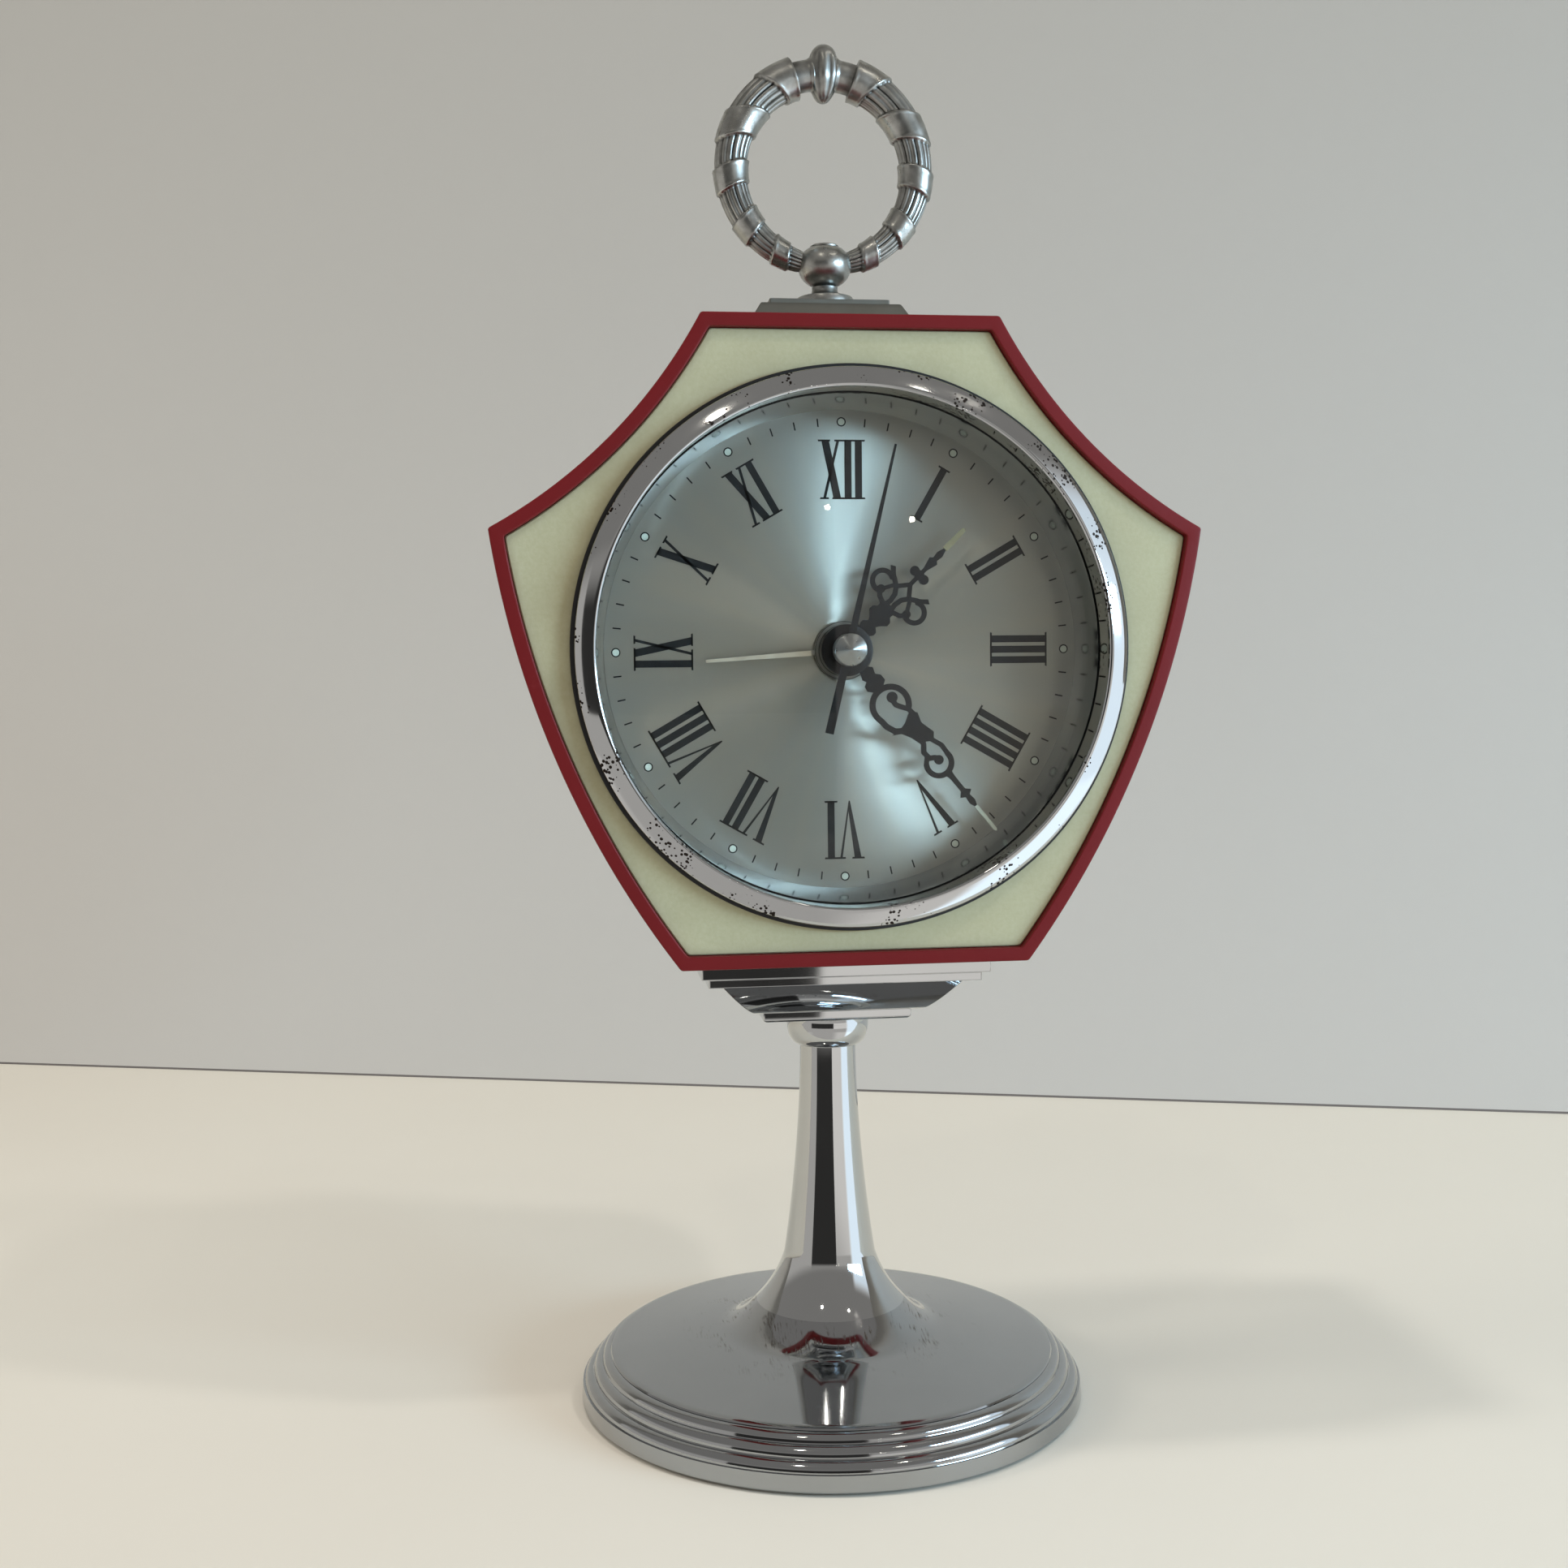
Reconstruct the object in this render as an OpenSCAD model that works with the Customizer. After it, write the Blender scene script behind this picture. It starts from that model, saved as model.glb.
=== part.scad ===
// Pedestal mantel clock with a wind-up alarm movement.
// Millimetres. Origin under the middle of the round base, Z up, dial faces -Y.

/* [Overall] */
// Round-off fineness of full circles
fine = 96; // [48:8:160]

/* [Base] */
// Radius of the base skirt at the floor
base_r = 54.1; // [45:0.5:65]
// Gap between skirt and floor left by the felt
skirt_lift = 0.6; // [0.3:0.1:0.9]
// Height where the skirt meets the first bead
skirt_z = 4.1; // [3.5:0.1:8]
// Height of the lowest bead
bead_1 = 2.1; // [1:0.1:4]
// Height of the middle bead
bead_2 = 2; // [1:0.1:4]
// Height of the upper bead
bead_3 = 1.6; // [1:0.1:4]
// Radial width of each bead
bead_w = 1.8; // [1:0.1:3]
// Thickness of the felt pad
felt_t = 1.0; // [0.9:0.1:2]
// Wall of the base skirt
skirt_t = 2.7; // [2:0.1:4]
// Flat ring left between the weight and the skirt
weight_in = 6.9; // [5:0.1:15]

/* [Stem] */
// Radius of the stem just under the collar
stem_r = 6.0; // [4.5:0.1:8]
// Height of the top of the stem
stem_top = 76; // [60:0.5:100]
// Rise of the base's top disc from its edge to the trumpet foot
disc_rise = 1.31; // [0.5:0.01:3]
// Radius of the trumpet foot's curve
flare_r = 25.8; // [15:0.2:30]
// Angle up that curve where stem and base meet
seam_a = 45.9; // [40:0.1:60]
// Radius of the collar bead
collar_r = 8.8; // [8:0.1:12]
// Height of the collar bead
collar_h = 7.4; // [6:0.1:12]
// Radius of the clamping rod inside the stem
rod_r = 3; // [2:0.25:4]

/* [Lower plinth] */
// Half width of the widest plate
plinth_w = 29.4; // [26:0.1:34]
// Half depth of the widest plate
plinth_d = 28; // [26:0.1:35]
// Height of the lower plinth above its foot plate
plinth_h = 13.1; // [12:0.1:20]
// Height of its cove
cove_h = 7.1; // [4:0.1:8]
// Half width of the small foot plate
foot_w = 15.6; // [12:0.1:18]
// Thickness of the small foot plate
foot_t = 2.3; // [1:0.1:4]

/* [Case] */
// Front plane of the rim
case_y0 = -39.6; // [-45:0.1:-36]
// Back plane of the case
case_y1 = 28; // [26:0.5:40]
// Width of the coloured rim seen from the front
rim_w = 2.7; // [1.5:0.1:3.9]
// Wall thickness of the case
wall = 4; // [3:0.1:4.5]
// From the bezel to the case's bottom edge
gap_below = 7.74; // [6.5:0.01:14]
// From the bezel to the case's top edge
gap_above = 10.16; // [7:0.01:16]
// From the bezel to the hollow upper sides
gap_up = 7.75; // [6.5:0.01:14]
// From the bezel to the full lower sides
gap_low = 7.25; // [6.5:0.01:14]
// Radius of the hollow upper side edges
side_up_r = 101.2; // [80:0.2:140]
// Radius of the full lower side edges
side_low_r = 184.2; // [150:0.2:240]
// Depth of the face panel below the rim
panel_in = 1.5; // [0.5:0.1:3]
// Thickness of the face panel
panel_t = 2.5; // [1.5:0.1:4]

/* [Bezel and dial] */
// Outer radius of the bezel
bezel_r = 53.5; // [50:0.1:60]
// Width of the bezel's outer slope
bezel_roll = 2.65; // [1.5:0.05:3.5]
// Width of the bezel from its crest to the glass
bezel_lip = 1.35; // [0.8:0.05:3]
// How far the crest stands in front of the rim
bezel_proud = 3.4; // [2.5:0.1:5]
// Depth from the glass to the dial
well = 10; // [10:0.1:14]
// Width of the slanted ring round the dial
slant_w = 2; // [1:0.1:4]
// Thickness of the crystal
crystal_t = 1.6; // [1:0.1:2.5]
// Rise of the crystal's dome
dome = 1.9; // [1.5:0.1:4]

/* [Hands] */
// Gap between the minute hand's tip and the slanted ring
tip_gap = 0.5; // [0.3:0.1:3]
// Length of the hour hand
hour_len = 33.9; // [31:0.1:40]
// Length of the second hand
second_len = 41.2; // [30:0.1:43]
// Length of the alarm hand
alarm_len = 27.6; // [15:0.5:40]
// Thickness of every hand
hand_t = 0.4; // [0.2:0.05:0.8]
// Rest angle of the hour hand, clockwise from twelve
hour_at = 45.3; // [0:0.1:360]
// Rest angle of the minute hand
minute_at = 140.4; // [0:0.1:360]
// Rest angle of the second hand
second_at = 13.6; // [0:0.1:360]
// Rest angle of the alarm hand
alarm_at = 266.1; // [0:0.1:360]

/* [Top ring] */
// Plane of the ring and finial
ring_y = -5.8; // [-15:0.1:5]
// Radius of the ring's centre line
ring_r = 19.4; // [14:0.1:26]
// Tube radius beside the top bead
ring_top = 4.2; // [3:0.1:6]
// Tube radius near the ball
ring_low = 2.1; // [1.5:0.1:4]
// Half width of the top plinth's upper plate
cap_w = 12.4; // [8:0.1:18]
// Height of the top plinth
cap_h = 8.3; // [6:0.1:14]
// Half width of the ball under the ring
ball_r = 5.65; // [5:0.05:8]

/* [Movement] */
// Space between dial pan and front plate
under_dial = 4.2; // [4.2:0.1:6]
// Space between the plates
between = 26; // [26:0.5:28]
// Plate thickness
plate_t = 1.5; // [1:0.1:2.5]
// Radial clearance of turning parts
run = 0.06; // [0.02:0.01:0.1]
// Gap between the tips of toothed wheels
mesh = 0.1; // [0.05:0.01:0.3]
// Height of a wheel tooth
tooth = 0.7; // [0.4:0.1:1]

/* [Back] */
// Radius of the recessed back cover
back_r = 42; // [40:0.5:46]
// Depth of the recess
recess = 10; // [6:0.5:11]
// Half span of the winding keys
key_span = 9; // [6:0.5:12]
// Radius of the setting knobs
knob_r = 4.4; // [3:0.1:6]
// Travel of the alarm stop plunger
stop_travel = 3.5; // [2:0.1:5]

/* [Hidden] */
// heights, from the floor up
z_1 = skirt_z + bead_1;
z_2 = z_1 + 0.2 + bead_2;
z_3 = z_2 + 0.2 + bead_3;
disc_z = z_3 + 0.6;
disc_r = base_r - 0.6 - 3 * bead_w - 0.5;
weight_r = base_r - skirt_t - weight_in;
weight_top = disc_z - 3;
web_z = felt_t + 4.2;
flare_a = 73.3;
flare_z = disc_z + disc_rise + flare_r * (1 - cos(flare_a));
flare_cz = disc_z + disc_rise + flare_r;
plinth_z = stem_top + collar_h;
cove_z = plinth_z + foot_t;
case_z0 = cove_z + plinth_h;
nut_z = case_z0 - 6.2;
dial_z = case_z0 + gap_below + bezel_r;
case_z1 = dial_z + bezel_r + gap_above;
cap_z = case_z1 + cap_h;
ball_z = cap_z + 8.2;
ring_z = ball_z + ring_r;

// depths, from the rim back
panel_y = case_y0 + panel_in;
panel_b = panel_y + panel_t;
gasket_f = panel_y - 1.4;
crest_y = case_y0 - bezel_proud;
cry_b = panel_b + 0.5;
cry_f = cry_b - crystal_t;
dial_t = 0.6;
dial_y = cry_b + well;
pan_y = dial_y + dial_t;
pan_t = 0.8;
front_y = pan_y + pan_t + under_dial;
rear_y = front_y + plate_t + between;
cover_y = case_y1 - recess;
cover_t = 0.8;
alarm_y = dial_y - 1.2;
hour_y = dial_y - 3.6;
minute_y = dial_y - 5.1;
second_y = dial_y - 6.8;

// radii about the dial axis
crest_r = bezel_r - bezel_roll;
bezel_in = crest_r - bezel_lip;
seat_r = crest_r + 0.65;
spigot_r = seat_r + 0.8;
panel_hole = spigot_r + 0.3;
boss_r = 2.1;
bolt_ring = panel_hole + boss_r - 0.1;
bolt_at = [for (a = [60, 120, 225, 315]) bolt_ring * [cos(a), sin(a)]];
pan_r = seat_r - 0.15;
dial_r = bezel_in - slant_w;
minute_len = dial_r - tip_gap;
cover_screw_at = [for (a = [45:90:315]) (back_r + 3) * [cos(a), sin(a)]];
stud_r = 2.2;
screw_x = foot_w + 2.4;
far = 4 * bezel_r;

// centres of the case's side curves, from the dial centre
up_at = (bezel_r + gap_up + side_up_r) * [cos(43.57), sin(43.57)];
low_at = (side_low_r - bezel_r - gap_low) * [cos(23.52), -sin(23.52)];

// pitch radii of wheels and pinions, wheel then pinion
great_r = 15.75;
cen_pin = 2.25;
cen_r = 11;
third_pin = 1.375;
third_r = 10.919;
sec_pin = 1.456;
sec_r = 10.3;
esc_pin = sec_r / 8;
esc_r = 7;
cannon_r = 2;
mw_r = 6;
hour_r = 6.4;
mw_pin = cannon_r + mw_r - hour_r;
set_pin = 1.5;
al_r = 10.5;
al_pin = al_r / 5;
ag_r = 12.6;
ae_pin = ag_r / 6;
ae_r = 6;
drum_r = 12.5;
adrum_r = 11.2;
drum_y0 = front_y + 9.5;
drum_y1 = drum_y0 + 12;

// arbors, x and z from the dial centre
function turn(r, a) = r * [cos(a), sin(a)];
TB = turn(great_r + cen_pin, -36.87);
T3 = turn(cen_r + third_pin, 126.87);
ES = turn(sec_r + esc_pin, 53.13);
PF = ES + turn(9, 36.87);
BW = PF + [9, 0];
MW = turn(cannon_r + mw_r, -126.87);
ST = MW + turn(mw_r + set_pin, 247.91);
AS = turn(al_r + al_pin, 194.48);
AB = [-23, -15];
AE = AB + turn(ag_r + ae_pin, 101.77);
HM = AE + [0, 9.2];
SP = [-12, 27];
pillar_at = [[-33, -27], [33, -27], [-33, 27], [33, 27]];
// arbor holes that both plates share, each with its radius
arbor_holes = [[T3, 0.6], [ES, 0.5], [PF, 0.5], [BW, 0.5], [ST, 0.9], [AS, 0.9], [AE, 0.6], [HM, 0.8]];

// radius of the stem at a height
function stem_at(z) = stem_r + 0.00396 * pow(max(0, stem_top - z), 1.8);
flare_cx = stem_at(flare_z) + flare_r * sin(flare_a);
// point on the trumpet curve
function flare(a) = [flare_cx - flare_r * sin(a), flare_cz - flare_r * cos(a)];
seam_r = flare(seam_a)[0];
seam_z = flare(seam_a)[1];
function arc(cx, cy, r, a0, a1, n) =
    [for (i = [0:n]) let (a = a0 + (a1 - a0) * i / n) [cx + r * cos(a), cy + r * sin(a)]];
// quarter-round step down and out from radius r0 and height z0
function bead(r0, z0, w, h) = [for (a = [0:18:90]) [r0 + w * cos(a), z0 - h + h * sin(a)]];

// slab between two planes of Y, drawn in X and Z
module slab(y0, y1) { translate([0, y1, 0]) rotate([90, 0, 0]) linear_extrude(y1 - y0) children(); }
// solid of revolution about the dial axis, profile points are [radius, -y]
module spin_dial() { translate([0, 0, dial_z]) rotate([90, 0, 0]) rotate_extrude($fn = fine) children(); }
// cylinder along Y at an arbor
module rod(at, r, y0, y1, n = 40) {
    translate([at[0], y1, dial_z + at[1]]) rotate([90, 0, 0]) cylinder(r = r, h = y1 - y0, $fn = n);
}
module ring(at, r, hole, y0, y1, n = 40) {
    difference() { rod(at, r, y0, y1, n); rod(at, hole, y0 - 1, y1 + 1, n); }
}
// flat piece at an arbor
module flat(at, y0, y1) { translate([at[0], 0, dial_z + at[1]]) slab(y0, y1) children(); }
module toothed(r, n, t = tooth) {
    tip = r - mesh / 2;
    circle(r = tip - t, $fn = 64);
    for (i = [0:n - 1]) rotate(360 * i / n)
        polygon([[tip - t - 0.2, -1.6 * r / n], [tip, -0.7 * r / n], [tip, 0.7 * r / n],
            [tip - t - 0.2, 1.6 * r / n]]);
}
module wheel(at, r, n, hole, y0, y1, arms = 5) {
    flat(at, y0, y1) difference() {
        toothed(r, n);
        if (hole > 0) circle(r = hole, $fn = 40);
        if (arms > 0) for (i = [0:arms - 1])
            rotate(360 * i / arms) translate([r * 0.56, 0]) circle(r = r * 0.22, $fn = 32);
    }
}
// flat spiral strip from radius r0 outward, with n points a turn
module spiral(r0, pitch, turns, t, n = 20) {
    last = turns * n;
    function at_r(i, side) = (r0 + pitch * i / n + side * t / 2) * [cos(360 * i / n), sin(360 * i / n)];
    polygon(concat([for (i = [0:last]) at_r(i, 1)], [for (i = [last:-1:0]) at_r(i, -1)]));
}
// hand drawn along +Z from the dial centre, turned clockwise, each shape raised by itself
module hand(at, y0) {
    for (i = [0:$children - 1])
        translate([0, 0, dial_z]) rotate([0, at, 0]) slab(y0, y0 + hand_t) children(i);
}
module both() { children(); mirror([1, 0]) children(); }
module band(cx, cy, r, w, a0, a1) {
    translate([cx, cy]) rotate(a0) intersection() {
        difference() {
            circle(r = r + w / 2, $fn = 40);
            circle(r = r - w / 2, $fn = 40);
        }
        polygon(concat([[0, 0]], arc(0, 0, 2 * r + w, 0, a1 - a0, 8)));
    }
    for (a = [a0, a1]) translate([cx + r * cos(a), cy + r * sin(a)]) circle(r = w / 2, $fn = 20);
}

// line of round-ended bars through points
module stroke(pts, w) {
    for (i = [0:len(pts) - 2])
        let (a = pts[i], b = pts[i + 1], n = [a[1] - b[1], b[0] - a[0]] * w / 2 / norm(b - a))
            polygon([a + n, a - n, b - n, b + n]);
    for (q = pts) translate(q) circle(r = w / 2, $fn = 18);
}

// six-cornered case outline, drawn in by t
module outline(t) {
    difference() {
        intersection() {
            translate([-far, case_z0 + t]) square([2 * far, case_z1 - case_z0 - 2 * t]);
            translate([-low_at[0], dial_z - low_at[1]]) circle(r = side_low_r - t, $fn = 360);
            translate([low_at[0], dial_z - low_at[1]]) circle(r = side_low_r - t, $fn = 360);
        }
        for (s = [-1, 1]) translate([s * up_at[0], dial_z + up_at[1]]) circle(r = side_up_r + t, $fn = 240);
    }
}
// stepped block from half widths and half depths at heights
module stepped(pts_w, pts_d, cy) {
    intersection() {
        translate([0, 100, 0]) rotate([90, 0, 0]) linear_extrude(200)
            polygon(concat(pts_w, [for (i = [len(pts_w) - 1:-1:0]) [-pts_w[i][0], pts_w[i][1]]]));
        translate([-100, cy, 0]) rotate([90, 0, 90]) linear_extrude(200)
            polygon(concat(pts_d, [for (i = [len(pts_d) - 1:-1:0]) [-pts_d[i][0], pts_d[i][1]]]));
    }
}
module pillar(r, z0, z1, n = 48) { translate([0, 0, z0]) cylinder(r = r, h = z1 - z0, $fn = n); }

// ---------- stand ----------
module felt_pad() color("#3c4038") pillar(base_r - skirt_t - 0.1, 0, felt_t, fine);

module base_shell() color("#c9ccd0") difference() {
    rotate_extrude($fn = fine) polygon(concat(
        [[base_r, skirt_lift], [base_r - 0.3, skirt_z]],
        bead(base_r - 0.7 - bead_w, z_1, bead_w, bead_1),
        bead(base_r - 0.9 - 2 * bead_w, z_2, bead_w, bead_2),
        bead(base_r - 1 - 3 * bead_w, z_3, bead_w, bead_3),
        [[disc_r + 0.2, disc_z - 0.5], [disc_r, disc_z - 0.2], [disc_r - 0.4, disc_z]],
        [for (i = [0:6]) flare(5 + (seam_a - 5) * i / 6)],
        [[rod_r + 0.2, seam_z], [rod_r + 0.2, weight_top], [13, weight_top], [15.5, disc_z + 1.2],
         [30, disc_z - 0.6], [weight_r + 0.5, disc_z - 2], [weight_r + 1.5, disc_z - 3.8],
         [base_r - skirt_t - 2.1, skirt_z - 0.1], [base_r - skirt_t, skirt_z - 1.5],
         [base_r - skirt_t, skirt_lift]]));
}

module base_weight() color("#4a4a4c") difference() {
    pillar(weight_r, felt_t, weight_top, fine);
    pillar(rod_r, 0, disc_z);
    pillar(9, 0, web_z);
}

module stem() color("#c9ccd0") difference() {
    rotate_extrude($fn = fine) polygon(concat(
        [[0, seam_z]],
        [for (i = [0:7]) flare(seam_a + (flare_a - seam_a) * i / 7)],
        [for (i = [1:10]) let (z = flare_z + (stem_top - flare_z) * i / 10) [stem_at(z), z]],
        [[0, stem_top]]));
    pillar(rod_r + 0.2, 0, case_z0);
}

module stem_collar() color("#c9ccd0") difference() {
    r0 = stem_r + 0.3;
    rotate_extrude($fn = fine) polygon(concat(
        [[0, stem_top], [r0, stem_top]],
        [for (a = [-77:13:1]) [r0 + (collar_r - r0) * cos(a), stem_top + 4.6 + 4.6 * sin(a)]],
        [[collar_r, plinth_z - 1.2], [collar_r - 0.5, plinth_z - 0.4], [collar_r - 0.5, plinth_z],
         [0, plinth_z]]));
    pillar(rod_r + 0.2, 0, case_z0);
}

module tie_rod() color("#8d9094") pillar(rod_r, web_z - 3.6, nut_z + 4.4);

module tie_rod_nuts() color("#8d9094") for (z = [web_z - 3.4, nut_z + 0.8]) difference() {
    pillar(rod_r + 2.8, z, z + 2.6, 6);
    pillar(rod_r + run, 0, case_z0);
}

module tie_rod_washers() color("#a9acb0") for (z = [web_z - 0.8, nut_z]) difference() {
    pillar(rod_r + 3.4, z, z + 0.8);
    pillar(rod_r + run, 0, case_z0);
}

module plinth_foot() color("#c9ccd0") difference() {
    translate([-foot_w, 1.2 - foot_w, plinth_z]) cube([2 * foot_w, 2 * foot_w - 2.4, foot_t]);
    pillar(rod_r + 0.2, 0, case_z0);
}

// one side of the lower plinth: cove from half width w, then two plates out to full
function plinth_side(w, full) = concat([[w, cove_z]],
    [for (i = [1:6]) [w + (full - w - 4.4) * pow(i / 6, 0.8), cove_z + cove_h * i / 6]],
    [[full - 3.2, cove_z + cove_h], [full - 1.5, cove_z + cove_h + 0.2], [full - 1.5, case_z0 - 4.1],
     [full, case_z0 - 3.9], [full, case_z0]]);

module lower_plinth() color("#c9ccd0") difference() {
    stepped(plinth_side(foot_w + 2, plinth_w), plinth_side(foot_w + 1, plinth_d), 0);
    pillar(rod_r + 0.2, plinth_z, case_z0 + 1);
    pillar(rod_r + 5, nut_z, case_z0 + 1);
    for (s = [-1, 1]) translate([s * screw_x, 0, 0]) pillar(1.6 + run, case_z0 - 5.8, case_z0 + 1, 32);
}

module plinth_screws() color("#8d9094") for (s = [-1, 1]) translate([s * screw_x, 0, 0]) {
    pillar(1.6, case_z0 - 5.3, case_z0 + wall, 32);
    pillar(3.2, case_z0 + wall, case_z0 + wall + 2, 32);
}

// ---------- case ----------
module case_shell() color("#7a1f24") difference() {
    slab(case_y0, case_y1) outline(0);
    slab(case_y0 - 1, panel_b) outline(rim_w);
    slab(panel_b - 0.01, case_y1 - 3) outline(wall);
    rod([0, 0], back_r + 0.4, case_y1 - 4, case_y1 + 1, fine);
    for (s = [-1, 1]) translate([s * screw_x, 0, 0]) pillar(1.6 + run, case_z0 - 1, case_z0 + wall + 1, 32);
    for (p = cover_screw_at) rod(p, 1.2 + run, case_y1 - 4, case_y1 + 1, 24);
    translate([0, ring_y, 0]) pillar(stud_r + run, case_z1 - wall - 1, case_z1 + 1, 32);
}

module face_panel() color("#d9d6b4") {
    difference() {
        slab(panel_y, panel_b) outline(rim_w + 0.1);
        rod([0, 0], panel_hole, panel_y - 1, panel_b + 1, fine);
    }
    for (p = bolt_at) ring(p, boss_r, 1 + run, panel_b - 0.5, pan_y, 32);
}

module bezel_gasket() color("#16181a") ring([0, 0], bezel_r + 0.85, panel_hole, gasket_f, panel_y, fine);

module bezel() color("#c9ccd0") spin_dial() polygon(concat(
    [[spigot_r, -gasket_f], [bezel_r, -gasket_f]],
    [for (a = [0:15:90]) [crest_r + (bezel_r - crest_r) * cos(a), -crest_y - 1.6 + 1.6 * sin(a)]],
    [[bezel_in + 0.35, -crest_y - 0.9], [bezel_in, -crest_y - 2], [bezel_in, -cry_f], [seat_r, -cry_f],
     [seat_r, -panel_b - 5.6], [spigot_r, -panel_b - 5.6]]));

module crystal() color("#cfd6d8", 0.4) {
    r1 = bezel_in - 0.4;
    spin_dial() polygon(concat(
        [[seat_r - 0.2, -cry_b], [seat_r - 0.2, -cry_f], [r1, -cry_f]],
        [for (i = [0:7]) let (r = r1 * (1 - i / 8)) [r, -cry_f + dome * (1 - pow(r / r1, 2))]],
        [[0, -cry_f + dome]], [[0, -cry_b + dome]],
        [for (i = [7:-1:0]) let (r = r1 * (1 - i / 8)) [r, -cry_b + dome * (1 - pow(r / r1, 2))]]));
}

module rehaut() color("#aeb2b6") spin_dial() polygon([
    [dial_r, -dial_y], [pan_r - pan_t - 0.1, -dial_y], [pan_r - pan_t - 0.1, -cry_b],
    [bezel_in, -cry_b], [bezel_in - 0.2, -cry_b - 0.6]]);

module dial() color("#b4b8b8") ring([0, 0], pan_r - pan_t - 0.1, 2.8 + run, dial_y, pan_y, fine);

module dial_pan() color("#9b9ea2") {
    difference() {
        union() {
            rod([0, 0], pan_r, pan_y, pan_y + pan_t, fine);
            ring([0, 0], pan_r, pan_r - pan_t, cry_b, pan_y + pan_t, fine);
            for (p = bolt_at) hull() {
                rod(p * 0.88, 2.9, pan_y, pan_y + pan_t, 32);
                rod(p, 2.9, pan_y, pan_y + pan_t, 32);
            }
        }
        rod([0, 0], 2.8 + run, cry_b, front_y);
        for (p = bolt_at) rod(p, 1 + run, cry_b, front_y, 24);
        for (p = pillar_at) rod(p, 1.2 + run, cry_b, front_y, 24);
    }
}

module pan_screws() color("#8d9094") for (p = bolt_at) {
    rod(p, 1, pan_y - 6, pan_y + pan_t, 24);
    rod(p, 1.9, pan_y + pan_t, pan_y + pan_t + 1.2, 24);
}

// ---------- hands ----------
module hour_hand() color("#17181a") hand(hour_at, hour_y) difference() {
    union() {
        circle(r = 4, $fn = 48);
        both() {
            // stem with two knops
            polygon([[-0.2, 3], [0.9, 3.5], [1.1, 4.9], [1.85, 6], [1.8, 6.7], [1, 7.4], [1.5, 8.2],
                [2.5, 9.2], [2.45, 10.1], [1.7, 10.8], [1.8, 11.7], [1.2, 12.4], [-0.2, 12.6]]);
            // outer scroll and its curl
            band(4.5, 14.95, 2.03, 1, -115, 116);
            translate([3.6, 13.6]) circle(r = 0.85, $fn = 24);
            stroke([[1.4, 11.9], [2.8, 12.4], [3.5, 13.2]], 0.95);
            stroke([[3.6, 13.5], [3, 14.6], [2.3, 15.8]], 0.8);
            polygon([[3, 16.6], [3.9, 16.8], [5.5, 18.3], [4.6, 18.8], [3.7, 17.9], [2.8, 17.2]]);
            // inner scroll and cross bars
            stroke([[3.2, 17], [1.75, 16.05], [0.86, 14.77], [0.6, 13.3], [0.8, 12]], 1);
            stroke([[1.8, 16.1], [0.9, 17.2], [0, 18.3]], 0.9);
            translate([1.26, 20.9]) circle(r = 0.98, $fn = 24);
            // stem, barbs and tip
            polygon([[-0.1, 18], [0.42, 18.2], [0.42, 22.6], [1.05, 24.9], [0.5, 25.4], [0.72, 26.7],
                [0.3, 28.1], [0.42, 28.6], [0.42, hour_len - 0.4], [0.2, hour_len], [-0.1, hour_len]]);
        }
        translate([-0.6, 20]) square([1.2, 1.8]);
    }
    circle(r = 2, $fn = 40);
}

module minute_hand() color("#17181a") difference() {
    hand(minute_at, minute_y) {
        circle(r = 4.4, $fn = 48);
        // stem with knops
        polygon([[0.9, 3.6], [-0.9, 3.6], [-0.9, 4.9], [-1.75, 5.8], [-1.3, 7.1], [-2.05, 8],
            [-2.05, 9.3], [-0.4, 10.4], [1, 10.2], [2.15, 8.9], [1.95, 7.8], [1.1, 7.3], [1.5, 6.5], [1, 5.3]]);
        // first scroll
        band(0.3, 13.9, 3.65, 1.2, 138, 380);
        stroke([[3.75, 15.1], [3.7, 16.6], [2.95, 18.5], [1.4, 19.6]], 1.2);
        translate([-0.9, 12.9]) circle(r = 1.1, $fn = 28);
        stroke([[-0.6, 13.6], [-0.5, 14.5], [-1.15, 15.64], [-1.94, 16.74], [-2.11, 18.6]], 1.05);
        // middle of the hand
        polygon([[3.97, 18.7], [2, 18.9], [0.42, 18.5], [-1.32, 17.5], [-2.9, 18.4], [-2.2, 20.5],
            [-2.95, 23.5], [-1.8, 24.9], [-0.2, 23.9], [0.5, 24.3], [1.3, 21.6], [2.3, 19.7]]);
        // second scroll
        stroke([[-1.7, 24.6], [-2.45, 26.6], [-2.3, 28.6]], 0.95);
        band(0.25, 29, 2.55, 1.1, -32, 188);
        stroke([[2.4, 27.6], [1.5, 26.7]], 0.95);
        stroke([[0.2, 24.1], [1.25, 25.4], [1.13, 27.05], [0.2, 27.6]], 1.05);
        translate([-0.15, 28.5]) circle(r = 0.95, $fn = 28);
        // barbs and tip
        polygon([[-0.8, 31.2], [1, 31.2], [0.55, 33], [0.5, 36.3], [1.4, 37.2], [0.5, 37.8],
            [0.68, 39.3], [0.3, 40.3], [0.32, minute_len - 0.4], [0, minute_len],
            [-0.32, minute_len - 0.4], [-0.3, 40.3], [-0.68, 39.3], [-0.5, 37.8], [-1.4, 37.2], [-0.5, 36.3], [-0.55, 33]]);
    }
    rod([0, 0], 1.2, minute_y - 1, minute_y + 1);
}

module second_hand() color("#17181a") difference() {
    hand(second_at, second_y) {
        circle(r = 2.4, $fn = 40);
        polygon([[-0.72, 0], [-0.22, second_len], [0.22, second_len], [0.72, 0],
            [0.85, -16.8], [-0.85, -16.8]]);
    }
    rod([0, 0], 0.5, second_y - 1, second_y + 1, 32);
}

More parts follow.
